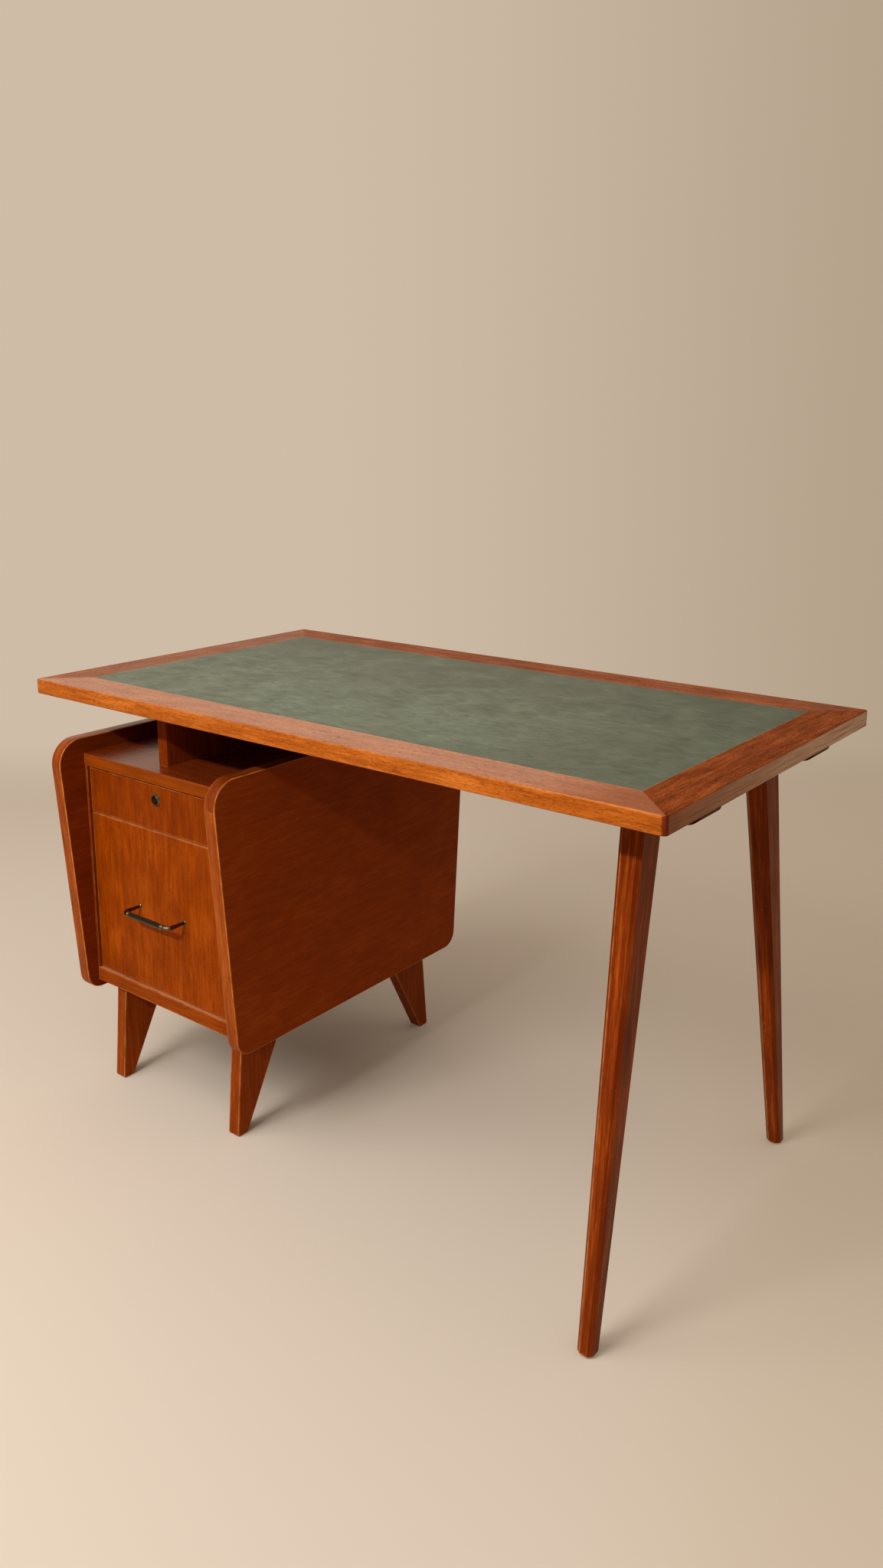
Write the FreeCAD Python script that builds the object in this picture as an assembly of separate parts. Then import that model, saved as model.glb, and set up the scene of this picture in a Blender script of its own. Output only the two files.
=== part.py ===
import FreeCAD, Part
import math
import os

# A writing desk with one drawer pedestal, in millimetres.
# X runs along the desk with the pedestal at the low end, the sitter is on the low Y side, Z is up.
# The origin is on the floor, under the middle of the tabletop.

V = FreeCAD.Vector

# Tabletop
desk_height = 760.0
top_length = 1200.0
top_depth = 650.0
top_thick = 25.0
border_width = 68.0
top_corner_radius = 7.0
top_arris_radius = 2.0
inlay_thick = 1.6
arris_radius = 1.2

# Long legs and the cleats that carry the tabletop on them
leg_head_inset_x = 107.5
leg_head_inset_y = 145.0
leg_foot_inset_x = 92.5
leg_foot_inset_y = 22.0
leg_head_width = 35.0
leg_head_depth = 57.0
leg_foot_width = 24.0
leg_foot_depth = 25.0
leg_chamfer = 6.0
leg_tip_chamfer = 4.0
cleat_width = 68.0
cleat_thick = 22.0
cleat_end_gap = 13.0
cleat_end_radius = 19.0
cleat_rounding = 3.0
cleat_nose_radius = 12.0
leg_dowel_radius = 6.0
leg_dowel_length = 52.0
leg_dowel_spacing = 28.0
cleat_screw_spacing_x = 124.0
cleat_screw_spacing_y = 42.0

# Pedestal's two shaped side panels
pedestal_inset = 10.0
pedestal_width = 420.0
pedestal_shift = 4.0
shelf_gap = 115.0
panel_thick = 24.0
panel_upper_depth = 640.0
panel_taper = 34.0
panel_upstand = 29.0
panel_drop = 18.0
panel_upper_radius = 44.0
panel_lower_radius = 29.0
lipping_thick = 5.0
lipping_seam_rise = 5.0

# Boards between the side panels
carcass_setback = 21.0
carcass_top_thick = 22.0
carcass_top_lip = 1.0
carcass_bottom_thick = 20.0
back_thick = 12.0
rail_height = 26.0
rail_thick = 20.0
rail_lip = 2.0
stile_width = 4.5
stile_depth = 20.0

# Riser board that carries the tabletop above the pedestal
riser_thick = 22.0
riser_setback = 32.0
riser_offset = 11.0

# Short legs under the pedestal
short_leg_height = 193.0
short_leg_thick = 24.0
short_leg_inset = 44.0
short_leg_setback = 30.0
short_leg_rake = 17.0
short_leg_foot_width = 22.0
short_leg_head_width = 106.0
short_leg_foot_radius = 4.0

# Drawers
front_thick = 18.0
front_setback = 4.0
front_gap = 1.6
top_gap = 2.6
front_side_gap = 1.5
upper_front_height = 81.6
drawer_back_gap = 36.0
side_thick = 12.0
side_inset = 0.5
side_lift = 6.4
lower_side_drop = 59.2
upper_side_drop = 16.2
drawer_back_thick = 12.0
drawer_back_drop = 4.0
bottom_thick = 5.0
bottom_rise = 6.0
bottom_groove_depth = 5.0
bottom_play = 0.2
tail_length = 12.0
tail_flare = 2.0
tail_pitch_wanted = 30.0
tail_share = 0.68

# Runners that the drawer sides hang on
runner_height = 14.0
runner_thick = 11.5
runner_groove_depth = 6.0
runner_play = 0.4
runner_stop_gap = 0.4
runner_screw_shares = (-0.38, 0.0, 0.38)

# Lock in the upper drawer
lock_backset = 26.0
lock_case_width = 42.0
lock_case_height = 44.0
lock_case_depth = 12.0
lock_case_wall = 1.6
rosette_radius = 11.0
rosette_thick = 2.6
rosette_floor = 1.0
rosette_lip = 2.8
rosette_rounding = 1.1
cylinder_radius = 6.0
cylinder_recess = 0.9
cylinder_play = 0.1
keyway_width = 1.6
keyway_height = 7.0
keyway_depth = 9.0
cam_radius = 10.0
cam_thick = 1.8
cam_pin_radius = 1.5
cam_pin_throw = 7.0
cam_play = 0.4
bolt_width = 24.0
bolt_thick = 4.0
bolt_height = 30.0
bolt_play = 0.3
bolt_top_drop = 0.6
bolt_slot_slack = 1.8
bolt_slot_lead = 3.2
strike_length = 44.0
strike_width = 14.0
strike_thick = 1.5
strike_pocket_depth = 12.0

# Bow handle on the lower drawer
handle_spacing = 117.0
handle_reach = 36.0
handle_bend_radius = 11.0
arm_radius = 3.4
arm_foot_radius = 5.5
arm_foot_thick = 2.2
grip_length = 82.0
grip_radius = 4.1
ferrule_length = 6.0
ferrule_radius = 4.9
ferrule_rounding = 0.9

# Fasteners
dowel_radius = 4.0
dowel_length = 36.0
dowel_in_panel = 14.0
dowel_end_play = 1.0
dowel_play = 0.1
carcass_dowel_shares = (-0.38, 0.0, 0.38)
riser_dowel_shares = (-0.4, 0.0, 0.4)
screw_play = 0.1
wood_screw = {"head": 4.5, "shank": 2.2, "length": 32.0}
long_screw = {"head": 5.0, "shank": 2.5, "length": 52.0}
runner_screw = {"head": 3.6, "shank": 1.8, "length": 25.0}
lock_screw = {"head": 2.6, "shank": 1.2, "length": 4.6}
handle_screw = {"head": 3.8, "shank": 2.0, "length": 29.0}
slot_width = 0.8
slot_depth = 0.9

# What cuts run past the piece that they cut
overrun = 8.0

# Places that follow from the sizes above
top_under = desk_height - top_thick
top_x = top_length / 2
top_y = top_depth / 2

carcass_low = short_leg_height
carcass_floor = carcass_low + carcass_bottom_thick
rail_top = carcass_floor + rail_lip
shelf_high = top_under - shelf_gap
shelf_low = shelf_high - carcass_top_thick
upper_front_high = shelf_low - top_gap
upper_front_low = upper_front_high - upper_front_height
lower_front_high = upper_front_low - front_gap
lower_front_low = rail_top + front_gap
lower_side_height = lower_front_high - lower_side_drop - lower_front_low - side_lift
upper_side_height = upper_front_high - upper_side_drop - upper_front_low - side_lift
panel_high = shelf_high + panel_upstand
panel_low = carcass_low - panel_drop
seam_z = shelf_low + lipping_seam_rise

pedestal_left = pedestal_inset - top_x
pedestal_right = pedestal_left + pedestal_width
pedestal_x = (pedestal_left + pedestal_right) / 2
pedestal_y = pedestal_shift
inner_left = pedestal_left + panel_thick
inner_right = pedestal_right - panel_thick
panel_lower_depth = panel_upper_depth - 2 * panel_taper
carcass_depth = panel_lower_depth - 2 * carcass_setback
riser_length = carcass_depth - 2 * riser_setback
short_leg_foot_outer = panel_lower_depth / 2 - short_leg_setback
short_leg_head_outer = short_leg_foot_outer - short_leg_rake

carcass_front = pedestal_y - carcass_depth / 2
carcass_back = pedestal_y + carcass_depth / 2
back_inside = carcass_back - back_thick
front_face = carcass_front + front_setback
front_inside = front_face + front_thick
drawer_rear = back_inside - drawer_back_gap

front_half = (inner_right - inner_left) / 2 - stile_width - front_side_gap
side_outer = front_half - side_inset
side_inner = side_outer - side_thick

leg_x = top_x - leg_head_inset_x
leg_y = top_y - leg_head_inset_y
leg_head_z = top_under - cleat_thick
riser_x = pedestal_x - riser_offset
riser_front = pedestal_y - riser_length / 2
riser_back = pedestal_y + riser_length / 2

lock_z = upper_front_high - lock_backset
handle_z = (lower_front_low + lower_front_high) / 2

pieces = {}


def keep(name, *solids):
    """Stores one named piece; several solids make one group."""
    pieces[name] = solids[0] if len(solids) == 1 else Part.makeCompound(list(solids))


def block(x0, x1, y0, y1, z0, z1):
    """Upright box between two values on each axis."""
    return Part.makeBox(x1 - x0, y1 - y0, z1 - z0, V(x0, y0, z0))


def rod(radius, start, end):
    """Round bar between two points."""
    run = end - start
    return Part.makeCylinder(radius, run.Length, start, run)


def mirrored_y(shape):
    """The same shape on the other side of the desk's long middle line."""
    return shape.mirror(V(0, 0, 0), V(0, 1, 0))


def rounded_wire(corners, radii):
    """Closed outline through the corners, each one rounded with its own radius, or sharp at zero."""
    count = len(corners)
    bends = []
    for i, corner in enumerate(corners):
        back = (corners[i - 1] - corner).normalize()
        ahead = (corners[(i + 1) % count] - corner).normalize()
        half_turn = back.getAngle(ahead) / 2
        reach = radii[i] / math.tan(half_turn)
        hump = radii[i] / math.sin(half_turn) - radii[i]
        middle = corner + (back + ahead).normalize() * hump
        bends.append((corner + back * reach, middle, corner + ahead * reach))
    edges = []
    for i, (start, middle, end) in enumerate(bends):
        if radii[i] > 0:
            edges.append(Part.Arc(start, middle, end).toShape())
        edges.append(Part.LineSegment(end, bends[(i + 1) % count][0]).toShape())
    return Part.Wire(edges)


def plate(corners, radii, run):
    """Flat outline with rounded corners, pulled along a straight run."""
    return Part.Face(rounded_wire(corners, radii)).extrude(run)


def softened(shape, radius, wanted):
    """Rounds the edges that the test picks."""
    edges = [edge for edge in shape.Edges if wanted(edge)]
    return shape.makeFillet(radius, edges)


def edge_on(edge, axis, value):
    """True where the whole edge lies at one value on an axis."""
    box = edge.BoundBox
    low = (box.XMin, box.YMin, box.ZMin)[axis]
    high = (box.XMax, box.YMax, box.ZMax)[axis]
    slack = arris_radius / 10
    return abs(low - value) < slack and abs(high - value) < slack


def screw(place, axis, size, play=0):
    """Countersunk slotted screw whose head is flush at place; with play it is the hole for one."""
    axis = V(axis).normalize()
    head = size["head"] + play
    shank = size["shank"] + play
    body = rod(shank, place, place + axis * (size["length"] + play * 2))
    body = body.fuse(Part.makeCone(head, shank, head - shank, place, axis))
    if play:
        return body
    across = V(axis.z, axis.x, axis.y)
    side = axis.cross(across)
    start = place - across * head - side * (slot_width / 2)
    end = start + across * head * 2
    step = side * slot_width
    slot = Part.Face(Part.makePolygon([start, end, end + step, start + step, start]))
    return body.cut(slot.extrude(axis * slot_depth))


def dowel(start, end, radius, play=0):
    """Wooden dowel between two points; with play it is the hole for one."""
    run = (end - start).normalize()
    spare = dowel_end_play if play else 0
    return rod(radius + play, start - run * spare, end + run * spare)


def drilled(shape, holes):
    """The shape with the holes that reach it cut out."""
    near = [hole for hole in holes if hole.BoundBox.intersect(shape.BoundBox)]
    return shape.cut(near) if near else shape


# Fastener places, set first because the pieces that they join are drilled for them
cleat_screw_places = [
    V(leg_x + i * cleat_screw_spacing_x / 2, j * leg_y + k * cleat_screw_spacing_y / 2, leg_head_z)
    for j in (-1, 1) for i in (-1, 1) for k in (-1, 1)]
cleat_screws = [screw(p, V(0, 0, 1), wood_screw) for p in cleat_screw_places]
cleat_holes = [screw(p, V(0, 0, 1), wood_screw, screw_play) for p in cleat_screw_places]

leg_dowel_ends = []
for side in (-1, 1):
    for step in (-1, 1):
        dowel_y = side * leg_y + step * leg_dowel_spacing / 2
        dowel_top = top_under - dowel_end_play * 2
        leg_dowel_ends.append((V(leg_x, dowel_y, dowel_top - leg_dowel_length), V(leg_x, dowel_y, dowel_top)))
leg_dowels = [dowel(a, b, leg_dowel_radius) for a, b in leg_dowel_ends]
leg_dowel_holes = [dowel(a, b, leg_dowel_radius, dowel_play) for a, b in leg_dowel_ends]

dowel_ends = []
for share in carcass_dowel_shares:
    dowel_y = pedestal_y + share * carcass_depth
    for dowel_z in (shelf_high - carcass_top_thick / 2, carcass_low + carcass_bottom_thick / 2):
        for face, inward in ((inner_left, 1), (inner_right, -1)):
            start = V(face - inward * dowel_in_panel, dowel_y, dowel_z)
            dowel_ends.append((start, start + V(inward * dowel_length, 0, 0)))
for share in riser_dowel_shares:
    dowel_y = pedestal_y + share * riser_length
    for joint_z in (shelf_high, top_under):
        low = joint_z - dowel_in_panel if joint_z == shelf_high else joint_z + dowel_in_panel - dowel_length
        dowel_ends.append((V(riser_x, dowel_y, low), V(riser_x, dowel_y, low + dowel_length)))
dowels = [dowel(a, b, dowel_radius) for a, b in dowel_ends]
dowel_holes = [dowel(a, b, dowel_radius, dowel_play) for a, b in dowel_ends]

short_leg_centre = pedestal_width / 2 - short_leg_inset - short_leg_thick / 2
short_leg_y = short_leg_head_outer - short_leg_head_width / 2
short_screw_step = short_leg_head_width / 4
short_screw_places = [
    V(pedestal_x + i * short_leg_centre, pedestal_y + j * (short_leg_y + k * short_screw_step), carcass_floor)
    for i in (-1, 1) for j in (-1, 1) for k in (-1, 1)]
short_screws = [screw(p, V(0, 0, -1), long_screw) for p in short_screw_places]
short_holes = [screw(p, V(0, 0, -1), long_screw, screw_play) for p in short_screw_places]


def make_tabletop():
    """Mitred border round a core board, with the writing inlay let in flush."""
    inner_x = top_x - border_width
    inner_y = top_y - border_width
    outer = [V(-top_x, -top_y, top_under), V(top_x, -top_y, top_under),
             V(top_x, top_y, top_under), V(-top_x, top_y, top_under)]
    slab = plate(outer, [top_corner_radius] * 4, V(0, 0, top_thick))
    slab = softened(slab, top_arris_radius, lambda e: edge_on(e, 2, top_under) or edge_on(e, 2, desk_height))
    ring = slab.cut(block(-inner_x, inner_x, -inner_y, inner_y, top_under, desk_height))
    far_x = top_x + overrun
    far_y = top_y + overrun
    outside = [V(-far_x, -far_y, top_under), V(far_x, -far_y, top_under),
               V(far_x, far_y, top_under), V(-far_x, far_y, top_under)]
    inside = [V(-inner_x, -inner_y, top_under), V(inner_x, -inner_y, top_under),
              V(inner_x, inner_y, top_under), V(-inner_x, inner_y, top_under)]
    for i, name in enumerate(("front", "right", "back", "left")):
        j = (i + 1) % 4
        wedge = Part.Face(Part.makePolygon([outside[i], outside[j], inside[j], inside[i], outside[i]]))
        member = ring.common(wedge.extrude(V(0, 0, top_thick)))
        keep("top_border_" + name, drilled(member, cleat_holes))
    inlay_low = desk_height - inlay_thick
    core = block(-inner_x, inner_x, -inner_y, inner_y, top_under, inlay_low)
    keep("top_core", drilled(core, cleat_holes + dowel_holes))
    keep("writing_inlay", block(-inner_x, inner_x, -inner_y, inner_y, inlay_low, desk_height))


def chamfered_section(x, y, z, width, depth, chamfer):
    """Rectangle with cut corners at one height, as a closed wire."""
    w = width / 2
    d = depth / 2
    points = [V(x - w + chamfer, y - d, z), V(x + w - chamfer, y - d, z), V(x + w, y - d + chamfer, z),
              V(x + w, y + d - chamfer, z), V(x + w - chamfer, y + d, z), V(x - w + chamfer, y + d, z),
              V(x - w, y + d - chamfer, z), V(x - w, y - d + chamfer, z)]
    return Part.makePolygon(points + points[:1])


def make_long_legs():
    """Splayed tapered legs at the open end, each doweled into a cleat under the tabletop."""
    foot_x = top_x - leg_foot_inset_x
    foot_y = leg_foot_inset_y - top_y
    tip_share = leg_tip_chamfer / leg_head_z
    ankle_x = foot_x + (leg_x - foot_x) * tip_share
    ankle_y = foot_y + (-leg_y - foot_y) * tip_share
    sections = [
        chamfered_section(foot_x, foot_y, 0, leg_foot_width - 2 * leg_tip_chamfer,
                          leg_foot_depth - 2 * leg_tip_chamfer, leg_chamfer),
        chamfered_section(ankle_x, ankle_y, leg_tip_chamfer, leg_foot_width, leg_foot_depth, leg_chamfer),
        chamfered_section(leg_x, -leg_y, leg_head_z, leg_head_width, leg_head_depth, leg_chamfer)]
    leg = Part.makeLoft(sections, True, True)
    reach = leg_head_inset_x - cleat_end_gap
    low = leg_head_z
    corners = [V(leg_x - reach, 0, top_under), V(leg_x - reach, 0, low),
               V(leg_x + reach, 0, low), V(leg_x + reach, 0, top_under)]
    cleat = plate(corners, [0, cleat_end_radius, cleat_end_radius, 0], V(0, cleat_width, 0))
    cleat.translate(V(0, -leg_y - cleat_width / 2, 0))
    flanks = (-leg_y - cleat_width / 2, -leg_y + cleat_width / 2)
    cleat = softened(cleat, cleat_rounding, lambda e: any(edge_on(e, 1, y) for y in flanks)
                     and e.BoundBox.ZMax < top_under - arris_radius)
    plan = [V(leg_x - reach, flanks[0], low), V(leg_x + reach, flanks[0], low),
            V(leg_x + reach, flanks[1], low), V(leg_x - reach, flanks[1], low)]
    cleat = cleat.common(plate(plan, [cleat_nose_radius] * 4, V(0, 0, cleat_thick)))
    for name, place in (("front", lambda s: s), ("back", mirrored_y)):
        keep("long_leg_" + name, drilled(place(leg), leg_dowel_holes))
        keep("leg_cleat_" + name, drilled(place(cleat), leg_dowel_holes + cleat_holes))
    keep("leg_dowels", *leg_dowels)
    keep("cleat_screws", *cleat_screws)


def panel_corners(x):
    """The side panel's four corners before rounding, on a plane across the desk's length."""
    lower = panel_lower_depth / 2
    upper = panel_upper_depth / 2
    return [V(x, pedestal_y - lower, panel_low), V(x, pedestal_y + lower, panel_low),
            V(x, pedestal_y + upper, panel_high), V(x, pedestal_y - upper, panel_high)]


def make_side_panels(runner_holes):
    """Each side panel is a board with a solid lipping bent round its edge in three lengths."""
    radii = [panel_lower_radius, panel_lower_radius, panel_upper_radius, panel_upper_radius]
    far_y = panel_upper_depth
    far_z = panel_high + overrun
    for name, x in (("left", pedestal_left), ("right", inner_right)):
        outline = Part.Face(rounded_wire(panel_corners(x), radii))
        inset = outline.makeOffset2D(-lipping_thick)
        board = inset.extrude(V(panel_thick, 0, 0))
        whole = outline.extrude(V(panel_thick, 0, 0))
        whole = softened(whole, arris_radius, lambda e: edge_on(e, 0, x) or edge_on(e, 0, x + panel_thick))
        ring = whole.cut(board)
        x0 = x - overrun
        x1 = x + panel_thick + overrun
        keep("lipping_front_" + name, ring.common(block(x0, x1, -far_y, pedestal_y, 0, seam_z)))
        keep("lipping_back_" + name, ring.common(block(x0, x1, pedestal_y, far_y, 0, seam_z)))
        keep("lipping_top_" + name, ring.common(block(x0, x1, -far_y, far_y, seam_z, far_z)))
        keep("side_panel_" + name, drilled(board, dowel_holes + runner_holes))


def make_carcass(strike_cut):
    """Boards, rail and stiles between the side panels, and the riser board on top."""
    shelf_front = carcass_front - carcass_top_lip
    shelf = block(inner_left, inner_right, shelf_front, carcass_back, shelf_low, shelf_high)
    shelf = softened(shelf, arris_radius, lambda e: edge_on(e, 1, shelf_front)
                     and not edge_on(e, 0, inner_left) and not edge_on(e, 0, inner_right))
    keep("pedestal_top", drilled(shelf, dowel_holes + [strike_cut]))
    rail_back = carcass_front + rail_thick
    floor = block(inner_left, inner_right, rail_back, back_inside, carcass_low, carcass_floor)
    keep("pedestal_bottom", drilled(floor, dowel_holes + short_holes))
    keep("pedestal_back", block(inner_left, inner_right, back_inside, carcass_back, carcass_low, shelf_low))
    rail = block(inner_left, inner_right, carcass_front, rail_back, rail_top - rail_height, rail_top)
    rail = softened(rail, arris_radius, lambda e: edge_on(e, 1, carcass_front)
                    and (edge_on(e, 2, rail_top) or edge_on(e, 2, rail_top - rail_height)))
    keep("front_rail", rail)
    stile_back = carcass_front + stile_depth
    for name, x in (("left", inner_left), ("right", inner_right - stile_width)):
        keep("stile_" + name, block(x, x + stile_width, carcass_front, stile_back, rail_top, shelf_low))
    riser = block(riser_x - riser_thick / 2, riser_x + riser_thick / 2, riser_front, riser_back,
                  shelf_high, top_under)
    riser = softened(riser, arris_radius, lambda e: e.BoundBox.ZLength > riser_thick)
    keep("riser_board", drilled(riser, dowel_holes))
    keep("dowels", *dowels)


def make_short_legs():
    """Four tapered legs under the pedestal, upright from the front and raked on their inner edge."""
    foot_inner = short_leg_foot_outer - short_leg_foot_width
    head_inner = short_leg_head_outer - short_leg_head_width
    low_radius = short_leg_foot_radius
    for side, sign in (("left", -1), ("right", 1)):
        x = pedestal_x + sign * short_leg_centre - short_leg_thick / 2
        for end, out in (("front", -1), ("back", 1)):
            corners = [V(x, pedestal_y + out * short_leg_foot_outer, 0),
                       V(x, pedestal_y + out * foot_inner, 0),
                       V(x, pedestal_y + out * head_inner, short_leg_height),
                       V(x, pedestal_y + out * short_leg_head_outer, short_leg_height)]
            leg = plate(corners, [low_radius, low_radius, 0, 0], V(short_leg_thick, 0, 0))
            flanks = (x, x + short_leg_thick)
            leg = softened(leg, arris_radius, lambda e: any(edge_on(e, 0, flank) for flank in flanks)
                           and not edge_on(e, 2, short_leg_height))
            keep("short_leg_" + end + "_" + side, drilled(leg, short_holes))
    keep("short_leg_screws", *short_screws)


def runner_places(side_low, side_height):
    """Heights of a runner's underside and top for a drawer side."""
    middle = side_low + side_height / 2
    return middle - runner_height / 2, middle + runner_height / 2


def make_runners():
    """Hardwood strips screwed to the side panels; the drawer sides are grooved to slide on them."""
    start = front_inside + runner_stop_gap
    run = back_inside - start
    screws = []
    holes = []
    for level, side_low, side_height in (("lower", lower_front_low + side_lift, lower_side_height),
                                         ("upper", upper_front_low + side_lift, upper_side_height)):
        z0, z1 = runner_places(side_low, side_height)
        for name, face, inward in (("left", inner_left, 1), ("right", inner_right, -1)):
            tip = face + inward * runner_thick
            strip = block(min(face, tip), max(face, tip), start, back_inside, z0, z1)
            places = [V(tip, start + run / 2 + share * run, (z0 + z1) / 2) for share in runner_screw_shares]
            own_holes = [screw(p, V(-inward, 0, 0), runner_screw, screw_play) for p in places]
            keep("runner_" + level + "_" + name, drilled(strip, own_holes))
            screws += [screw(p, V(-inward, 0, 0), runner_screw) for p in places]
            holes += own_holes
    keep("runner_screws", *screws)
    return holes


def tails(x0, x1, side_low, side_height):
    """Dovetails on the front end of a drawer side, as separate solids that reach into the front."""
    count = max(1, round(side_height / tail_pitch_wanted))
    pitch = side_height / count
    tip_half = pitch * tail_share / 2
    root_half = tip_half - tail_flare
    found = []
    for i in range(count):
        z = side_low + pitch * i + pitch / 2
        tip_y = front_inside - tail_length
        corners = [V(x0, front_inside, z - root_half), V(x0, tip_y, z - tip_half),
                   V(x0, tip_y, z + tip_half), V(x0, front_inside, z + root_half)]
        found.append(Part.Face(Part.makePolygon(corners + corners[:1])).extrude(V(x1 - x0, 0, 0)))
    return found


def make_drawer(level, front_low, front_high, side_height, front_cuts):
    """One drawer: front, two dovetailed sides, back and a thin bottom held in grooves."""
    side_low = front_low + side_lift
    side_high = side_low + side_height
    floor_low = side_low + bottom_rise
    floor_high = floor_low + bottom_thick
    floor_front = front_inside - bottom_groove_depth
    floor_half = side_inner + bottom_groove_depth
    runner_low, runner_high = runner_places(side_low, side_height)
    groove_cut = block(pedestal_x - floor_half, pedestal_x + floor_half, floor_front, drawer_rear,
                       floor_low, floor_high)
    sockets = []
    for name, sign in (("left", -1), ("right", 1)):
        outer = pedestal_x + sign * side_outer
        inner = pedestal_x + sign * side_inner
        groove = outer - sign * runner_groove_depth
        x0 = min(outer, inner)
        x1 = max(outer, inner)
        board = block(x0, x1, front_inside, drawer_rear, side_low, side_high)
        board = board.cut(block(min(outer, groove), max(outer, groove), front_inside, drawer_rear,
                                runner_low - runner_play, runner_high + runner_play))
        joints = tails(x0, x1, side_low, side_height)
        board = board.fuse(joints).removeSplitter()
        keep(level + "_drawer_side_" + name, board.cut(groove_cut))
        sockets += joints
    left = pedestal_x - front_half
    right = pedestal_x + front_half
    front = block(left, right, front_face, front_inside, front_low, front_high)
    front = softened(front, arris_radius, lambda e: edge_on(e, 1, front_face))
    keep(level + "_drawer_front", front.cut(sockets + [groove_cut] + front_cuts))
    back_front = drawer_rear - drawer_back_thick
    back = block(pedestal_x - side_inner, pedestal_x + side_inner, back_front, drawer_rear,
                 floor_high, side_high - drawer_back_drop)
    keep(level + "_drawer_back", back)
    floor_half -= bottom_play
    floor = block(pedestal_x - floor_half, pedestal_x + floor_half, floor_front + bottom_play, drawer_rear,
                  floor_low + bottom_play / 2, floor_high - bottom_play / 2)
    keep(level + "_drawer_bottom", floor)


def make_lock():
    """Cabinet lock let into the upper drawer front; a cam pin lifts its bolt into the board above."""
    centre = V(pedestal_x, 0, lock_z)
    out = V(0, -1, 0)
    case_front = front_inside - lock_case_depth
    face = front_face - rosette_thick
    rosette = Part.makeCylinder(rosette_radius, rosette_thick, V(centre.x, front_face, centre.z), out)
    rosette = softened(rosette, rosette_rounding, lambda e: edge_on(e, 1, face))
    well_floor = V(centre.x, front_face - rosette_floor, centre.z)
    rosette = rosette.cut(Part.makeCylinder(rosette_radius - rosette_lip, rosette_thick, well_floor, out))
    bore = rod(cylinder_radius + cylinder_play, V(centre.x, face - overrun, centre.z),
               V(centre.x, front_inside, centre.z))
    keep("lock_rosette", rosette.cut(bore))

    bolt_back = front_inside - lock_case_wall - bolt_play
    bolt_front = bolt_back - bolt_thick
    cam_back = bolt_front - bolt_play
    cam_front = cam_back - cam_thick
    cylinder = rod(cylinder_radius, V(centre.x, face + cylinder_recess, centre.z),
                   V(centre.x, cam_front, centre.z))
    cam = rod(cam_radius, V(centre.x, cam_front, centre.z), V(centre.x, cam_back, centre.z))
    pin = rod(cam_pin_radius, V(centre.x + cam_pin_throw, cam_back, centre.z),
              V(centre.x + cam_pin_throw, bolt_back, centre.z))
    keyway = block(centre.x - keyway_width / 2, centre.x + keyway_width / 2, face, face + keyway_depth,
                   centre.z - keyway_height / 2, centre.z + keyway_height / 2)
    keep("lock_cylinder", cylinder.fuse([cam, pin]).cut(keyway).removeSplitter())

    bolt_top = upper_front_high - bolt_top_drop
    half = bolt_width / 2
    bolt = block(centre.x - half, centre.x + half, bolt_front, bolt_back, bolt_top - bolt_height, bolt_top)
    slot_start = centre.x - cam_pin_radius * 2
    slot_end = centre.x + cam_pin_throw + cam_pin_radius + bolt_play
    slot_low = centre.z - cam_pin_radius - bolt_slot_slack
    slot_high = centre.z + cam_pin_radius + bolt_slot_lead
    keep("lock_bolt", bolt.cut(block(slot_start, slot_end, bolt_front, bolt_back, slot_low, slot_high)))

    case_half = lock_case_width / 2
    case_high = upper_front_high
    case_low = case_high - lock_case_height
    case = block(centre.x - case_half, centre.x + case_half, case_front, front_inside, case_low, case_high)
    channel = block(centre.x - half - bolt_play, centre.x + half + bolt_play, bolt_front - bolt_play,
                    bolt_back + bolt_play, bolt_top - bolt_height - bolt_play, case_high)
    chamber = rod(cam_radius + cam_play, V(centre.x, cam_front - cam_play, centre.z),
                  V(centre.x, cam_back + cam_play, centre.z))
    reach = case_half - lock_screw["head"] - lock_case_wall
    case_z = (case_low + case_high) / 2
    places = [V(centre.x + i * reach, front_inside, case_z + j * reach) for i in (-1, 1) for j in (-1, 1)]
    holes = [screw(p, V(0, -1, 0), lock_screw, screw_play) for p in places]
    keep("lock_case", case.cut([channel, chamber, bore] + holes))
    keep("lock_screws", *[screw(p, V(0, -1, 0), lock_screw) for p in places])

    strike_y = (bolt_front + bolt_back) / 2
    plate_half = strike_length / 2
    strike = block(centre.x - plate_half, centre.x + plate_half, strike_y - strike_width / 2,
                   strike_y + strike_width / 2, shelf_low, shelf_low + strike_thick)
    spare = bolt_play * 2
    entry = block(centre.x - half - spare, centre.x + half + spare, bolt_front - spare, bolt_back + spare,
                  shelf_low, shelf_low + strike_pocket_depth)
    keep("strike_plate", strike.cut(entry))
    return [case, bore], strike.fuse(entry)


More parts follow.
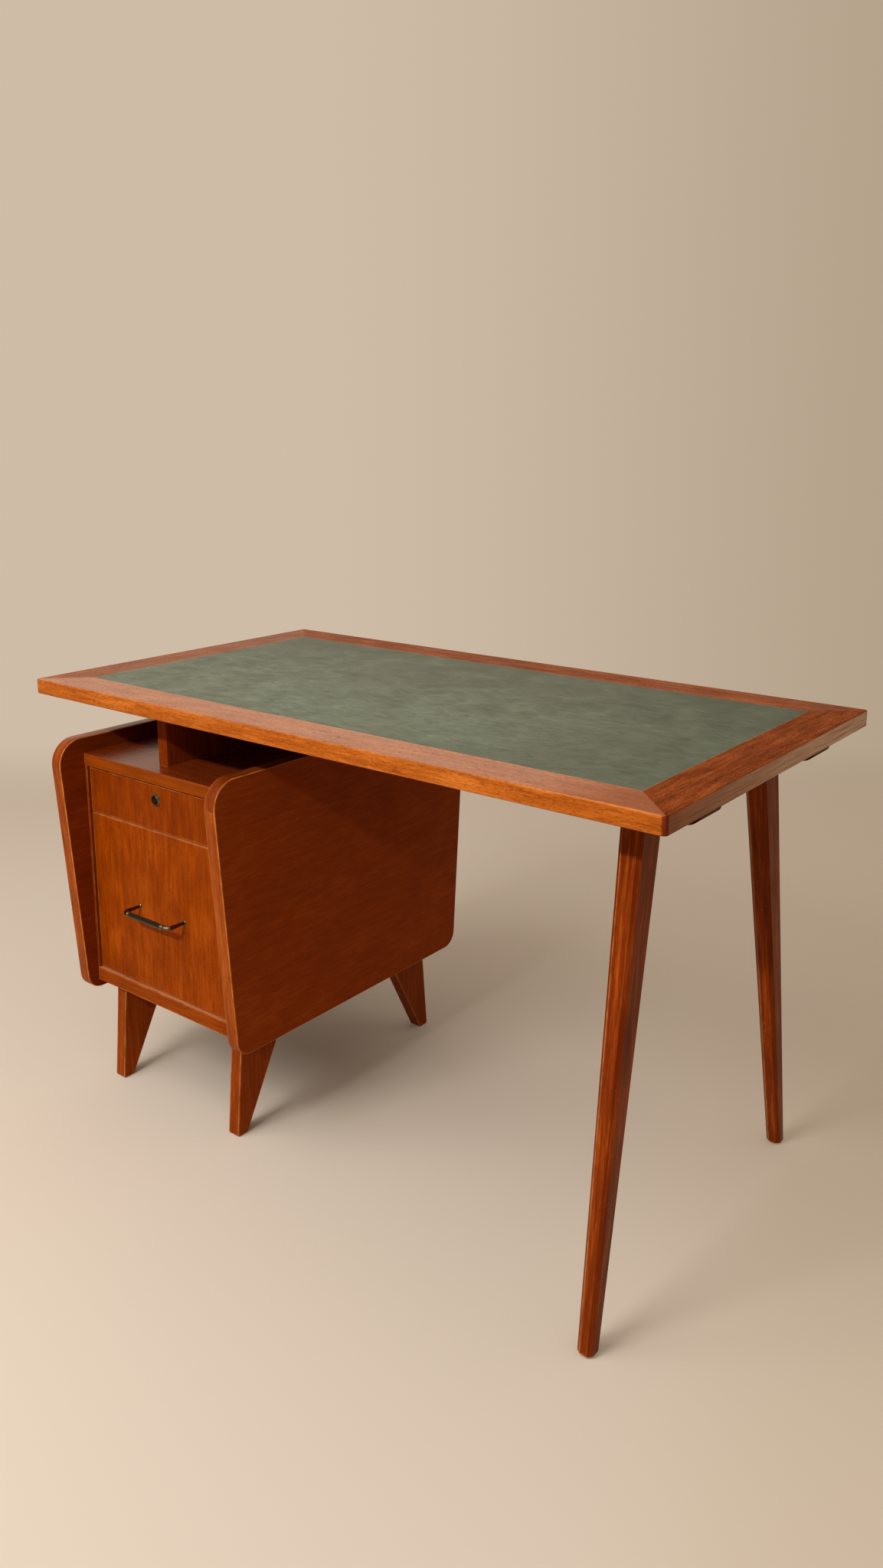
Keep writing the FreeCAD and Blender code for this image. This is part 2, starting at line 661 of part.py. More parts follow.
def make_handle():
    """Bow handle: two bent arms, a ferrule on each and a dark grip between them."""
    grip_y = front_face - handle_reach
    arm_x = handle_spacing / 2
    bend = handle_bend_radius
    grip_half = grip_length / 2
    ferrule_end = grip_half + ferrule_length
    holes = []
    screws = []
    ferrules = []
    for name, sign in (("left", -1), ("right", 1)):
        x = pedestal_x + sign * arm_x
        foot = V(x, front_face, handle_z)
        turn_start = V(x, grip_y + bend, handle_z)
        turn_end = V(x - sign * bend, grip_y, handle_z)
        hub = V(x - sign * bend, grip_y + bend, handle_z)
        middle = hub + (V(sign, -1, 0).normalize()) * bend
        end = V(pedestal_x + sign * ferrule_end, grip_y, handle_z)
        path = Part.Wire([Part.LineSegment(foot, turn_start).toShape(),
                          Part.Arc(turn_start, middle, turn_end).toShape(),
                          Part.LineSegment(turn_end, end).toShape()])
        section = Part.Wire([Part.makeCircle(arm_radius, foot, V(0, -1, 0))])
        arm = path.makePipeShell([section], True, False)
        rose = rod(arm_foot_radius, foot, foot - V(0, arm_foot_thick, 0))
        rose = softened(rose, arris_radius, lambda e: edge_on(e, 1, front_face - arm_foot_thick))
        place = V(x, front_inside, handle_z)
        hole = screw(place, V(0, -1, 0), handle_screw, screw_play)
        keep("handle_arm_" + name, Part.Solid(arm).fuse(rose).cut(hole))
        holes.append(hole)
        screws.append(screw(place, V(0, -1, 0), handle_screw))
        ferrule = rod(ferrule_radius, end, V(pedestal_x + sign * grip_half, grip_y, handle_z))
        ferrules.append(softened(ferrule, ferrule_rounding, lambda e: e.BoundBox.XLength < arris_radius))
    keep("handle_ferrules", *ferrules)
    keep("handle_grip", rod(grip_radius, V(pedestal_x - grip_half, grip_y, handle_z),
                            V(pedestal_x + grip_half, grip_y, handle_z)))
    keep("handle_screws", *screws)
    return holes


make_tabletop()
make_long_legs()
lock_cuts, strike_cut = make_lock()
handle_holes = make_handle()
runner_holes = make_runners()
make_side_panels(runner_holes)
make_carcass(strike_cut)
make_short_legs()
make_drawer("lower", lower_front_low, lower_front_high, lower_side_height, handle_holes)
make_drawer("upper", upper_front_low, upper_front_high, upper_side_height, lock_cuts)

os.makedirs("parts", exist_ok=True)
for name, shape in pieces.items():
    shape.exportStep("parts/" + name + ".step")
    state = "valid" if shape.isValid() else "not valid"
    print(name, len(shape.Solids), "solids", round(shape.Volume), "mm3", state)
print(len(pieces), "nodes")
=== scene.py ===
import math

import bmesh
import bpy
from mathutils import Matrix, Vector


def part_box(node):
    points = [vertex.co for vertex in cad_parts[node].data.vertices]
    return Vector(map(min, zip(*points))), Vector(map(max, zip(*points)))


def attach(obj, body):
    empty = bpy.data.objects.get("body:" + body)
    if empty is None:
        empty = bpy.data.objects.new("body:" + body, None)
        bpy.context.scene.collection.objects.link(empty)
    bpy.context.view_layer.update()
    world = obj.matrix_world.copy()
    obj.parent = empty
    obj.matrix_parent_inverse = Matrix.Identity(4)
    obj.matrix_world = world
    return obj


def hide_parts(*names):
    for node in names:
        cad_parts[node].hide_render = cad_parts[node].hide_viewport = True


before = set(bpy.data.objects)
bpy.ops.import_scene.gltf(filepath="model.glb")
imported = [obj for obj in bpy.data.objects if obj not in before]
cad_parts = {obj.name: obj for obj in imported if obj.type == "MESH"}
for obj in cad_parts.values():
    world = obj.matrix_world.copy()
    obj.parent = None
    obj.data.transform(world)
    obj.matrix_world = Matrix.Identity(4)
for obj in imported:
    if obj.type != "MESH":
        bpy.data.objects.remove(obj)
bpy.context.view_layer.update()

# A writing desk of red-brown stained oak with a green writing sheet and one drawer pedestal, in metres.
# X runs along the desk with the pedestal at the low end, the sitter is on the low Y side, Z is up.

# The desk's three directions, for grain and for faces
LONG = (1, 0, 0)
DEEP = (0, 1, 0)
TALL = (0, 0, 1)

# Sizes of the bent lippings round the pedestal's side panels, and how squarely a side face looks along X
PANEL_UPPER_DEPTH = 0.640
PANEL_LOWER_DEPTH = 0.572
PANEL_UPPER_RADIUS = 0.044
PANEL_LOWER_RADIUS = 0.029
LIPPING_THICK = 0.005
LIPPING_ARRIS = 0.0015
LIPPING_OVERLAP = 0.0002
ARRIS_STEPS = 3
BEND_STEPS = 24
SIDE_FACE = 0.99

# Pins that hold the lippings: their heights, how far off the lipping's middle, and how far back they may lie
PIN_RADIUS = 0.0012
PIN_PROUD = 0.00012
PIN_SUNK = 0.0010
PIN_CROWN_SHARE = 0.8
PIN_HEIGHTS = (0.225, 0.320, 0.480, 0.633)
PIN_OFFSET = 0.0062
PIN_REACH = -0.26

# Sizes of the bow handle
ARM_WALL_RADIUS = 0.0026
ARM_ELBOW_RADIUS = 0.0036
ARM_FOOT_RADIUS = 0.0055
ROSE_RADIUS = 0.0046
ROSE_THICK = 0.0022
ELBOW_BEND = 0.0105
ELBOW_STEPS = 10
COLLAR_RADIUS = 0.0050
GRIP_RADIUS = 0.0045
GRIP_BELLY = 0.0003
ROUND_SIDES = 40

# The handle's turned profiles, in shares of a thickness or length and of a radius
ROSE_SHARES = ((0.0, 1.0), (0.55, 1.0), (0.9, 0.86), (1.0, 0.6))
ARM_ROOT_SHARES = ((1.6, 1.15), (2.4, 1.0))
ARM_MIDDLE_SHARE = 0.6
# How far along the right elbow the pale metal reaches, a painted highlight
HIGHLIT_ELBOW_SHARE = 0.45
COLLAR_SHARES = ((0.0, 0.80), (0.10, 0.94), (0.22, 1.0), (0.50, 1.0), (0.60, 0.93), (0.66, 0.93), (0.74, 1.0),
                 (0.90, 0.98), (1.0, 0.84))
GRIP_END_SHARE = 0.008
GRIP_END_RADIUS_SHARE = 0.9
GRIP_BELLY_SHARES = (0.06, 0.2, 0.35, 0.5, 0.65, 0.8, 0.94)

# Sizes of the lock's rosette, and its rim and well in shares of them
KEY_CYLINDER_RADIUS = 0.0060
BORE_CLEARANCE = 0.0001
ROSETTE_LIP = 0.0026
ROSETTE_WELL = 0.0016
RIM_SHARES = ((0.0, 1.0), (0.35, 1.0), (0.72, 0.96), (0.95, 0.89), (1.0, 0.84))
WELL_SHARES = ((0.0, 1.0), (0.8, 1.15), (1.0, 1.35))

SHARP_ANGLE = math.radians(32)
WELD_DISTANCE = 1e-6

# Pairs given to spread or ease are a stretch of a value, and two more numbers the limits it is spread over.
# Here it is the stretch where most of a noise's values lie.
MOST = (0.3, 0.7)


def paint(red, green, blue):
    """Linear colour of a screen colour given from 0 to 255."""
    def linear(value):
        share = value / 255
        return share / 12.92 if share <= 0.04045 else ((share + 0.055) / 1.055) ** 2.4
    return (linear(red), linear(green), linear(blue), 1.0)


class Net:
    """Builds one node tree, a material's or a group's, from short calls."""

    def __init__(self, tree):
        self.tree = tree

    def link(self, output, socket):
        self.tree.links.new(output, socket)

    def fill(self, sockets, values):
        """Links or sets sockets by their names."""
        for key, value in values.items():
            if isinstance(value, bpy.types.NodeSocket):
                self.link(value, sockets[key])
            else:
                sockets[key].default_value = value

    def add(self, kind, values=None, **settings):
        node = self.tree.nodes.new("ShaderNode" + kind)
        for key, value in settings.items():
            setattr(node, key, value)
        self.fill(node.inputs, values or {})
        return node

    def group(self, name, **values):
        return self.add("Group", values, node_tree=bpy.data.node_groups[name]).outputs

    def math(self, operation, a, b=0.0, clamp=False):
        return self.add("Math", {0: a, 1: b}, operation=operation, use_clamp=clamp).outputs[0]

    def times(self, a, b, clamp=False):
        return self.math("MULTIPLY", a, b, clamp)

    def vector(self, operation, a, b):
        return self.add("VectorMath", {0: a, 1: b}, operation=operation).outputs["Vector"]

    def dot(self, a, b):
        return self.add("VectorMath", {0: a, 1: b}, operation="DOT_PRODUCT").outputs["Value"]

    def parts(self, vector):
        return self.add("SeparateXYZ", {"Vector": vector}).outputs

    def skew(self, vector):
        """How far a direction lies between X and Y, from 0 along either to 0.5 halfway."""
        parts = self.parts(vector)
        return self.math("ABSOLUTE", self.times(parts["X"], parts["Y"]))

    def noise(self, vector, scale, detail=2.0, roughness=0.5, distortion=0.0, output="Fac"):
        """Noise at one scale, or at three scales for the three directions, in features per metre."""
        if not isinstance(scale, float):
            vector = self.vector("MULTIPLY", vector, scale)
            scale = 1.0
        values = {"Vector": vector, "Scale": scale, "Detail": detail, "Roughness": roughness,
                  "Distortion": distortion}
        return self.add("TexNoise", values).outputs[output]

    def spread(self, value, low, high, to_low=0.0, to_high=1.0):
        """The value's stretch from low to high, spread over the new limits and held there outside it."""
        values = {"Value": value, "From Min": low, "From Max": high, "To Min": to_low, "To Max": to_high}
        return self.add("MapRange", values).outputs["Result"]

    def ease(self, value, low, high):
        """The value's stretch from low to high as a smooth step from 0 to 1."""
        values = {"Value": value, "From Min": low, "From Max": high}
        return self.add("MapRange", values, interpolation_type="SMOOTHSTEP").outputs["Result"]

    def mix(self, share, a, b, blend="MIX"):
        """Mix of two colours."""
        return self.add("Mix", {0: share, 6: a, 7: b}, data_type="RGBA", blend_type=blend).outputs[2]


def new_group(name, inputs, outputs):
    """A shader node group with named sockets; gives its net, what comes in, and what goes out."""
    tree = bpy.data.node_groups.new(name, "ShaderNodeTree")
    for way, sockets in (("INPUT", inputs), ("OUTPUT", outputs)):
        for label, kind in sockets.items():
            tree.interface.new_socket(label, in_out=way, socket_type="NodeSocket" + kind)
    given = tree.nodes.new("NodeGroupInput").outputs
    result = tree.nodes.new("NodeGroupOutput").inputs
    return Net(tree), given, result


# Oak figure: how far the grain wanders, where its pores lie, and the weights of its parts
WANDER_REACH = (0.0, 0.010, 0.010)
PORE_RANGE = (0.555, 0.615)
PORE_STREAKS = (0.35, 0.65, 1.0, 0.5)
BROAD_WEIGHT = 1.5
TONE_REACH = 0.5
FIBRE_RELIEF = 0.3


def build_oak_figure():
    """Oak whose grain runs along the vector's X: broad streaks and patches, fine fibres and open pores."""
    inputs = {"Vector": "Vector", "Dark": "Color", "Mid": "Color", "Light": "Color", "Pore": "Color",
              "Broad": "Float", "Patchy": "Float", "Fine": "Float", "Pores": "Float"}
    outputs = {"Color": "Color", "Height": "Float", "Pores": "Float"}
    net, given, result = new_group("oak_figure", inputs, outputs)
    vector = given["Vector"]
    wander = net.noise(vector, scale=(4.0, 14.0, 14.0), output="Color")
    wander = net.vector("SUBTRACT", wander, (0.5, 0.5, 0.5))
    bent = net.vector("ADD", vector, net.vector("MULTIPLY", wander, WANDER_REACH))
    streak = net.noise(bent, scale=(7.0, 140.0, 140.0), detail=4.0, roughness=0.62)
    patch = net.noise(vector, scale=(7.0, 20.0, 20.0), detail=4.0, roughness=0.6)
    fibre = net.noise(bent, scale=(16.0, 480.0, 480.0), roughness=0.6)
    dash = net.noise(bent, scale=(95.0, 1100.0, 1100.0), detail=1.0)
    pores = net.times(net.spread(dash, *PORE_RANGE), net.spread(streak, *PORE_STREAKS))
    pores = net.times(pores, given["Pores"], clamp=True)
    tone = net.times(net.math("SUBTRACT", fibre, 0.5), given["Fine"])
    for part, weight in ((streak, given["Broad"]), (patch, given["Patchy"])):
        share = net.times(net.math("SUBTRACT", part, 0.5), weight)
        tone = net.math("ADD", tone, net.times(share, BROAD_WEIGHT))
    lower = net.mix(net.spread(tone, -TONE_REACH, 0.0), given["Dark"], given["Mid"])
    colour = net.mix(net.spread(tone, 0.0, TONE_REACH), lower, given["Light"])
    colour = net.mix(pores, colour, given["Pore"])
    height = net.math("SUBTRACT", net.times(fibre, FIBRE_RELIEF), pores)
    net.fill(result, {"Color": colour, "Height": height, "Pores": pores})


# Edge wear: how far the rounded normal turns off the flat one at an edge, and how noise breaks it up
EDGE_TURN = (0.995, 0.90)
BREAK_RANGE = (0.38, 0.60, 0.25, 1.0)
TOWARD_GAIN = 5.0
MITRE_SKEW = (0.002, 0.010)


def build_edge_wear():
    """Mask of outer edges where the finish is rubbed through, broken up by noise.

    Toward keeps it to the arrises that face one way, and Square keeps it off mitres and rounded corners."""
    inputs = {"Vector": "Vector", "Radius": "Float", "Amount": "Float", "Toward": "Vector", "Square": "Float"}
    net, given, result = new_group("edge_wear", inputs, {"Mask": "Float"})
    rounded = net.add("Bevel", {"Radius": given["Radius"]}, samples=6).outputs["Normal"]
    flat = net.add("NewGeometry").outputs["Normal"]
    edge = net.spread(net.dot(rounded, flat), *EDGE_TURN)
    coarse = net.noise(given["Vector"], scale=38.0, detail=4.0, roughness=0.65)
    broken = net.times(edge, net.spread(coarse, *BREAK_RANGE))
    facing = net.times(net.dot(rounded, given["Toward"]), TOWARD_GAIN)
    broken = net.times(broken, net.math("ADD", facing, 1.0, clamp=True))
    skew = net.times(net.spread(net.skew(rounded), *MITRE_SKEW), given["Square"])
    broken = net.times(broken, net.math("SUBTRACT", 1.0, skew))
    net.link(net.times(broken, given["Amount"], clamp=True), result["Mask"])


# Nicks: the stretches of their noises that show
NICK_RANGE = (0.70, 0.76)
NICKED_RANGE = (0.50, 0.66)


def build_scuffs():
    """Mask of small nicks and short scratches, and a slow smudge over the sheen."""
    net, given, result = new_group("scuffs", {"Vector": "Vector", "Amount": "Float"},
                                   {"Nicks": "Float", "Smudge": "Float"})
    speck = net.noise(given["Vector"], scale=(230.0, 420.0, 300.0), detail=1.0)
    where = net.noise(given["Vector"], scale=9.0)
    nicks = net.times(net.spread(speck, *NICK_RANGE), net.spread(where, *NICKED_RANGE))
    smudge = net.noise(given["Vector"], scale=14.0, detail=5.0, roughness=0.6)
    net.link(net.times(nicks, given["Amount"], clamp=True), result["Nicks"])
    net.link(smudge, result["Smudge"])


# Tarnish: the stretch of its clouds that shows, and the share of fine brushing
TARNISH_RANGE = (0.40, 0.64)
BRUSHING_SHARE = 0.2


def build_tarnish():
    """Mask of dull, darkened patches and fine brushing on old plated metal."""
    net, given, result = new_group("tarnish", {"Vector": "Vector", "Amount": "Float"},
                                   {"Mask": "Float", "Height": "Float"})
    cloud = net.noise(given["Vector"], scale=160.0, detail=5.0, roughness=0.65)
    fine = net.noise(given["Vector"], scale=1400.0)
    mask = net.math("ADD", net.spread(cloud, *TARNISH_RANGE), net.times(fine, BRUSHING_SHARE))
    net.link(net.times(mask, given["Amount"], clamp=True), result["Mask"])
    net.link(net.math("ADD", cloud, fine), result["Height"])


def new_material(name):
    """An empty material: its net and its main shader."""
    material = bpy.data.materials.new(name)
    material.use_nodes = True
    return material, Net(material.node_tree), material.node_tree.nodes["Principled BSDF"]


def feed(net, shader, **sockets):
    """Links or sets the shader's sockets; underscores in the names stand for spaces."""
    net.fill(shader.inputs, {key.replace("_", " "): value for key, value in sockets.items()})


def bump(net, shader, height, distance, strength):
    """Fine relief from a height that reaches over a distance."""
    node = net.add("Bump", {"Height": height, "Distance": distance, "Strength": strength})
    net.link(node.outputs["Normal"], shader.inputs["Normal"])


def stain(dark, middle, light, pore):
    """Colours of a stain from its darkest to its lightest, and the colour in its pores."""
    return {"Dark": paint(*dark), "Mid": paint(*middle), "Light": paint(*light), "Pore": paint(*pore)}


# Darker border stain for the back and left border members: painted shade.
PAINTED_SHADE_BORDER_STAIN = stain((116, 48, 12), (148, 68, 21), (176, 92, 38), (80, 30, 7))
SHORT_LEG_STAIN = stain((112, 40, 4), (142, 58, 8), (170, 78, 18), (76, 24, 3))
SHEEN_TINT = (1.0, 0.60, 0.34, 1.0)
RUBBED_OAK = paint(212, 132, 66)
# The long legs' rubbed colour, partly wear and partly a painted highlight on the arrises that face left.
RUBBED_AND_HIGHLIT_LEG = paint(236, 156, 86)
RUBBED_PALE = paint(214, 184, 140)

# How each kind of board is finished. Run shortens the figure along the grain; broad, patchy and fine weigh
# its streaks, patches and fibres; pores and side_pores go to upper and other faces. Gloss is the roughness,
# level the strength of the sheen, and coat the lacquer on upper faces. Wear, toward and square rub arrises;
# where toward points left, as on the long legs, the lighter arrises are partly wear and partly painted
# highlight. Bleach greys the right face. The fading setting pales the upper face, partly as fading and partly
# as painted sheen; corner darkens chamfers and rounded corners as painted shade; the end setting darkens the
# upper face at the right end as painted shade; and the setting for the sitter's side warms the faces towards
# the sitter as painted light.
PLAIN = dict(stain=stain((96, 30, 2), (124, 46, 5), (148, 62, 12), (66, 20, 2)), run=1.0, broad=1.0,
             patchy=0.8, fine=0.6, pores=0.5, side_pores=0.3, gloss=0.42, level=0.15, coat=0.0,
             coat_gloss=0.24, coat_ior=1.5, wear=0.8, wear_radius=0.0018, toward=(0.0, 0.0, 0.0),
             square=0.0, nicks=0.4, rubbed=RUBBED_OAK, bleach=0.0, faded_sheen=0.0, corner=0.0, painted_shade_end=0.0,
             sitter=0.0)
# On the drawer fronts the paled upper faces make a painted highlight along the gap between the fronts.
FRONTS = dict(PLAIN, stain=stain((114, 41, 2), (147, 61, 3), (176, 83, 12), (88, 29, 2)), run=1.8,
              broad=0.75, patchy=0.85, fine=0.45, level=0.05, wear=1.0, wear_radius=0.0045, nicks=0.12,
              faded_sheen=0.6)
# The upper drawer front is stained darker than the lower one: painted shade.
PAINTED_SHADE_UPPER_FRONTS = dict(FRONTS, stain=stain((102, 34, 2), (134, 53, 3), (160, 71, 10), (82, 26, 2)), faded_sheen=0.0)
RAILS = dict(FRONTS, stain=SHORT_LEG_STAIN, run=1.5, wear_radius=0.0050, sitter=0.04)
PANELS = dict(PLAIN, stain=stain((118, 44, 5), (144, 57, 9), (170, 78, 20), (96, 33, 4)), run=2.0,
              broad=0.5, patchy=0.4, gloss=0.46, level=0.08, wear=0.0, nicks=0.2)
# The left panel is stained darker than the right one: painted shade.
PAINTED_SHADE_LEFT_PANELS = dict(PANELS, stain=stain((92, 31, 3), (118, 43, 5), (144, 60, 12), (80, 26, 3)))
LIPPINGS = dict(PLAIN, stain=stain((124, 48, 5), (156, 70, 14), (186, 94, 28), (92, 32, 4)), run=1.6,
                side_pores=0.5, gloss=0.36, level=0.2)
BENDS = dict(LIPPINGS, stain=stain((104, 38, 7), (136, 57, 13), (166, 78, 24), (72, 25, 4)), gloss=0.30,
             coat=0.25)
BORDERS = dict(PLAIN, stain=stain((142, 62, 12), (176, 88, 23), (204, 114, 44), (92, 35, 7)), run=1.5,
               broad=1.25, fine=1.3, pores=1.0, side_pores=0.6, level=0.25, coat=0.66, coat_ior=1.7,
               wear=1.0, wear_radius=0.0042, square=1.0, faded_sheen=0.28, corner=0.85, painted_shade_end=0.68,
               sitter=0.12)
# The back and left border members take the darker stain, which is painted shade.
BACK_BORDERS = dict(BORDERS, stain=PAINTED_SHADE_BORDER_STAIN, level=0.06, coat=0.05, faded_sheen=0.0, painted_shade_end=0.0)
LEFT_BORDERS = dict(BORDERS, stain=PAINTED_SHADE_BORDER_STAIN, coat=0.15, faded_sheen=0.06, painted_shade_end=0.0)
# The right border member: rubbed, nicked and sun-bleached, and darker in stain, which is painted shade.
WORN_AND_SHADED_BORDERS = dict(BORDERS, stain=stain((104, 42, 10), (134, 60, 18), (162, 82, 32), (68, 26, 7)),
                    broad=1.2, side_pores=0.5, coat=0.0, gloss=0.5, level=0.03, wear_radius=0.0018,
                    nicks=0.6, bleach=1.0, faded_sheen=0.0, painted_shade_end=0.0, sitter=0.0)
# Long legs: their arrises that face left are rubbed lighter, partly wear and partly painted highlight, and
# their chamfers get painted shade.
LEGS = dict(PLAIN, stain=stain((80, 24, 3), (128, 48, 6), (186, 88, 24), (52, 15, 2)), broad=0.95,
            patchy=0.5, gloss=0.32, level=0.17, wear=1.0, wear_radius=0.0042, rubbed=RUBBED_AND_HIGHLIT_LEG,
            toward=(-1.0, 0.0, 0.0), corner=0.45)
SHORT_LEGS = dict(LEGS, stain=SHORT_LEG_STAIN, gloss=0.4, level=0.12, toward=(0.0, 0.0, 0.0), corner=0.0)
SHELVES = dict(PLAIN, coat=1.0, coat_ior=2.0, level=0.05, coat_gloss=0.27, wear_radius=0.0022, nicks=0.15,
               sitter=0.12)
RISERS = dict(PLAIN, stain=stain((98, 32, 3), (124, 46, 6), (150, 62, 12), (70, 21, 2)), level=0.04,
              wear=0.5, nicks=0.1)
CLEATS = dict(PLAIN, stain=stain((44, 14, 4), (62, 22, 7), (84, 34, 12), (32, 10, 3)), level=0.04, wear=0.1,
              nicks=0.0)
CORES = dict(PLAIN, stain=stain((58, 32, 18), (80, 46, 27), (102, 64, 40), (42, 22, 12)), gloss=0.6,
             wear=0.2)
PALE = dict(PLAIN, stain=stain((150, 112, 70), (184, 146, 98), (206, 172, 124), (120, 84, 48)), broad=0.8,
            fine=0.4, gloss=0.6, wear=0.4, rubbed=RUBBED_PALE)

# Which faces count as upper ones, which are coated or bleached, which face the sitter and get painted light,
# and which are chamfers that get painted shade
UPPER_FACING = (0.90, 0.99)
COATED_FACING = (0.6, 0.95)
BLEACHED_FACING = (0.80, 0.97)
PAINTED_LIGHT_FRONT_FACING = (-0.90, -0.99)
PAINTED_SHADE_CORNER_SKEW = (0.06, 0.25)

# Rubbing along a lipping's arrises: how far in it reaches, and how patchy it is
STRIP_EDGE = (0.0020, 0.0008)
STRIP_PATCHES = (0.35, 0.6, 0.35, 0.95)

# Bleached oak, faded oak that is partly painted sheen, oak darkened by painted shade and oak warmed by
# painted
# light: colours, where on the desk they lie, and how patchy they are
BLEACHED_OAK = paint(226, 190, 162)
BLEACH_RUN = (-0.30, 0.10, 0.27, 1.0)
BLEACH_STREAKS = (0.38, 0.58, 0.45, 1.0)
FADED_SHEEN_OAK = paint(204, 146, 116)
FADED_SHEEN_SHARES = (0.5, 1.5)
FADED_SHEEN_PORES = 0.65
PAINTED_SHADE_CORNER_OAK = paint(104, 34, 10)
PAINTED_SHADE_END_OAK = paint(132, 62, 26)
PAINTED_SHADE_END_RUN = (0.38, 0.55)
PAINTED_LIGHT_FRONT_OAK = paint(206, 116, 24)

# Spread of the oak's roughness, and what wear adds to it
GLOSS_SMUDGE = 0.07
WORN_ROUGHNESS = 0.2


def strip_wear(net, source, placed, half_width):
    """Mask of the rubbed arrises along a lipping, from the distance off its middle."""
    across = net.math("ABSOLUTE", net.parts(source)["Y"])
    patchy = net.noise(placed, scale=45.0, detail=3.0)
    inner, outer = STRIP_EDGE
    edge = net.spread(across, half_width - inner, half_width - outer)
    return net.times(edge, net.spread(patchy, *STRIP_PATCHES))


def board_wear(net, source, finish):
    """Mask of the rubbed arrises of a board."""
    return net.group("edge_wear", Vector=source, Radius=finish["wear_radius"], Amount=finish["wear"],
                     Toward=finish["toward"], Square=finish["square"])["Mask"]


def bleached(net, source, placed, normal, amount, colour):
    """The colour with its right face greyed by the sun, more so towards the back."""
    streaks = net.noise(placed, scale=(9.0, 420.0, 420.0), detail=4.0, roughness=0.7)
    sunny = net.spread(net.dot(normal, LONG), *BLEACHED_FACING, 0.0, amount)
    sunny = net.times(sunny, net.spread(net.parts(source)["Y"], *BLEACH_RUN))
    greyed = net.times(sunny, net.spread(streaks, *BLEACH_STREAKS))
    return net.mix(greyed, colour, BLEACHED_OAK)


def faded_sheen(net, placed, upper, finish, pores, colour):
    """The colour with its upper face paled in clouds, partly fading and partly painted sheen, and the pores
    dark in it.
    """
    cloud = net.noise(placed, scale=(5.0, 24.0, 24.0), detail=3.0, roughness=0.6)
    share = net.spread(cloud, *MOST, *(part * finish["faded_sheen"] for part in FADED_SHEEN_SHARES))
    colour = net.mix(net.times(upper, share), colour, FADED_SHEEN_OAK)
    return net.mix(net.times(pores, FADED_SHEEN_PORES), colour, finish["stain"]["Pore"])


def oak(name, finish, along, place, half_width=0.0):
    """Wood with its grain along a direction; place moves the pattern so that no two boards match.

    A bent lipping gives half its width: its grain follows the strip, and its rubbed arrises lie there."""
    material, net, shader = new_material(name)
    if half_width:
        source = net.add("Attribute", attribute_name="grain").outputs["Vector"]
    else:
        source = net.add("TexCoord").outputs["Object"]
    turn = Vector(along).normalized().rotation_difference(Vector(LONG)).to_euler()
    placed = net.add("Mapping", {"Vector": source, "Location": place, "Rotation": turn}).outputs["Vector"]
    normal = net.add("NewGeometry").outputs["Normal"]
    upper = net.spread(net.dot(normal, TALL), *UPPER_FACING)
    pores = net.spread(upper, 0.0, 1.0, finish["side_pores"], finish["pores"])
    wood = net.group("oak_figure", Vector=net.vector("MULTIPLY", placed, (finish["run"], 1.0, 1.0)),
                     Broad=finish["broad"], Patchy=finish["patchy"], Fine=finish["fine"], Pores=pores,
                     **finish["stain"])
    if half_width:
        worn = strip_wear(net, source, placed, half_width)
    else:
        worn = board_wear(net, source, finish)
    scuffs = net.group("scuffs", Vector=placed, Amount=finish["nicks"])
    colour = wood["Color"]
    if finish["bleach"]:
        colour = bleached(net, source, placed, normal, finish["bleach"], colour)
    # Partly fading and partly painted sheen: the upper faces are paled in clouds.
    if finish["faded_sheen"]:
        colour = faded_sheen(net, placed, upper, finish, wood["Pores"], colour)
    # Painted light: faces towards the sitter, where the lamps stand, are warmed and lightened.
    if finish["sitter"]:
        facing = net.spread(net.dot(normal, DEEP), *PAINTED_LIGHT_FRONT_FACING, 0.0, finish["sitter"])
        colour = net.mix(facing, colour, PAINTED_LIGHT_FRONT_OAK)
    # Painted shade: chamfers and rounded corners are darkened by the way they face.
    if finish["corner"]:
        shaded_chamfer = net.spread(net.skew(normal), *PAINTED_SHADE_CORNER_SKEW, 0.0, finish["corner"])
        colour = net.mix(shaded_chamfer, colour, PAINTED_SHADE_CORNER_OAK)
    coat = finish["coat"]
    if coat:
        coat = net.spread(net.dot(normal, TALL), *COATED_FACING, 0.0, coat)
    # Painted shade: the upper face darkens towards the right end, where it also loses its coat.
    if finish["painted_shade_end"]:
        end = net.times(net.ease(net.parts(source)["X"], *PAINTED_SHADE_END_RUN), upper)
        colour = net.mix(net.times(end, finish["painted_shade_end"]), colour, PAINTED_SHADE_END_OAK)
        coat = net.times(coat, net.math("SUBTRACT", 1.0, end))
    colour = net.mix(worn, colour, finish["rubbed"])
    colour = net.mix(scuffs["Nicks"], colour, finish["rubbed"])
    gloss = finish["gloss"]
    rough = net.spread(scuffs["Smudge"], *MOST, gloss - GLOSS_SMUDGE, gloss + GLOSS_SMUDGE)
    rough = net.math("ADD", rough, net.times(worn, WORN_ROUGHNESS), clamp=True)
    feed(net, shader, Base_Color=colour, Roughness=rough, Specular_IOR_Level=finish["level"],
         Specular_Tint=SHEEN_TINT, Coat_Weight=coat, Coat_Roughness=finish["coat_gloss"],
         Coat_IOR=finish["coat_ior"])
    bump(net, shader, wood["Height"], distance=0.00018, strength=0.6)
    return material


# Writing sheet: its colours, where each shows, and its sheen
CLOUD_WEIGHT = 0.45
MOTTLE_WEIGHT = 0.65
SHEET_TONES = (0.41, 0.70)
SHEET_DARK = paint(61, 77, 59)
SHEET_LIGHT = paint(121, 133, 113)
AGED_SHEET = paint(90, 94, 72)
AGED_RANGE = (0.35, 0.65, 0.0, 0.35)
CREASED_SHEET = paint(50, 56, 40)
CREASE_RANGE = (0.59, 0.67)
CREASED_CLOUDS = (0.38, 0.55)
CREASE_SHARE = 0.7
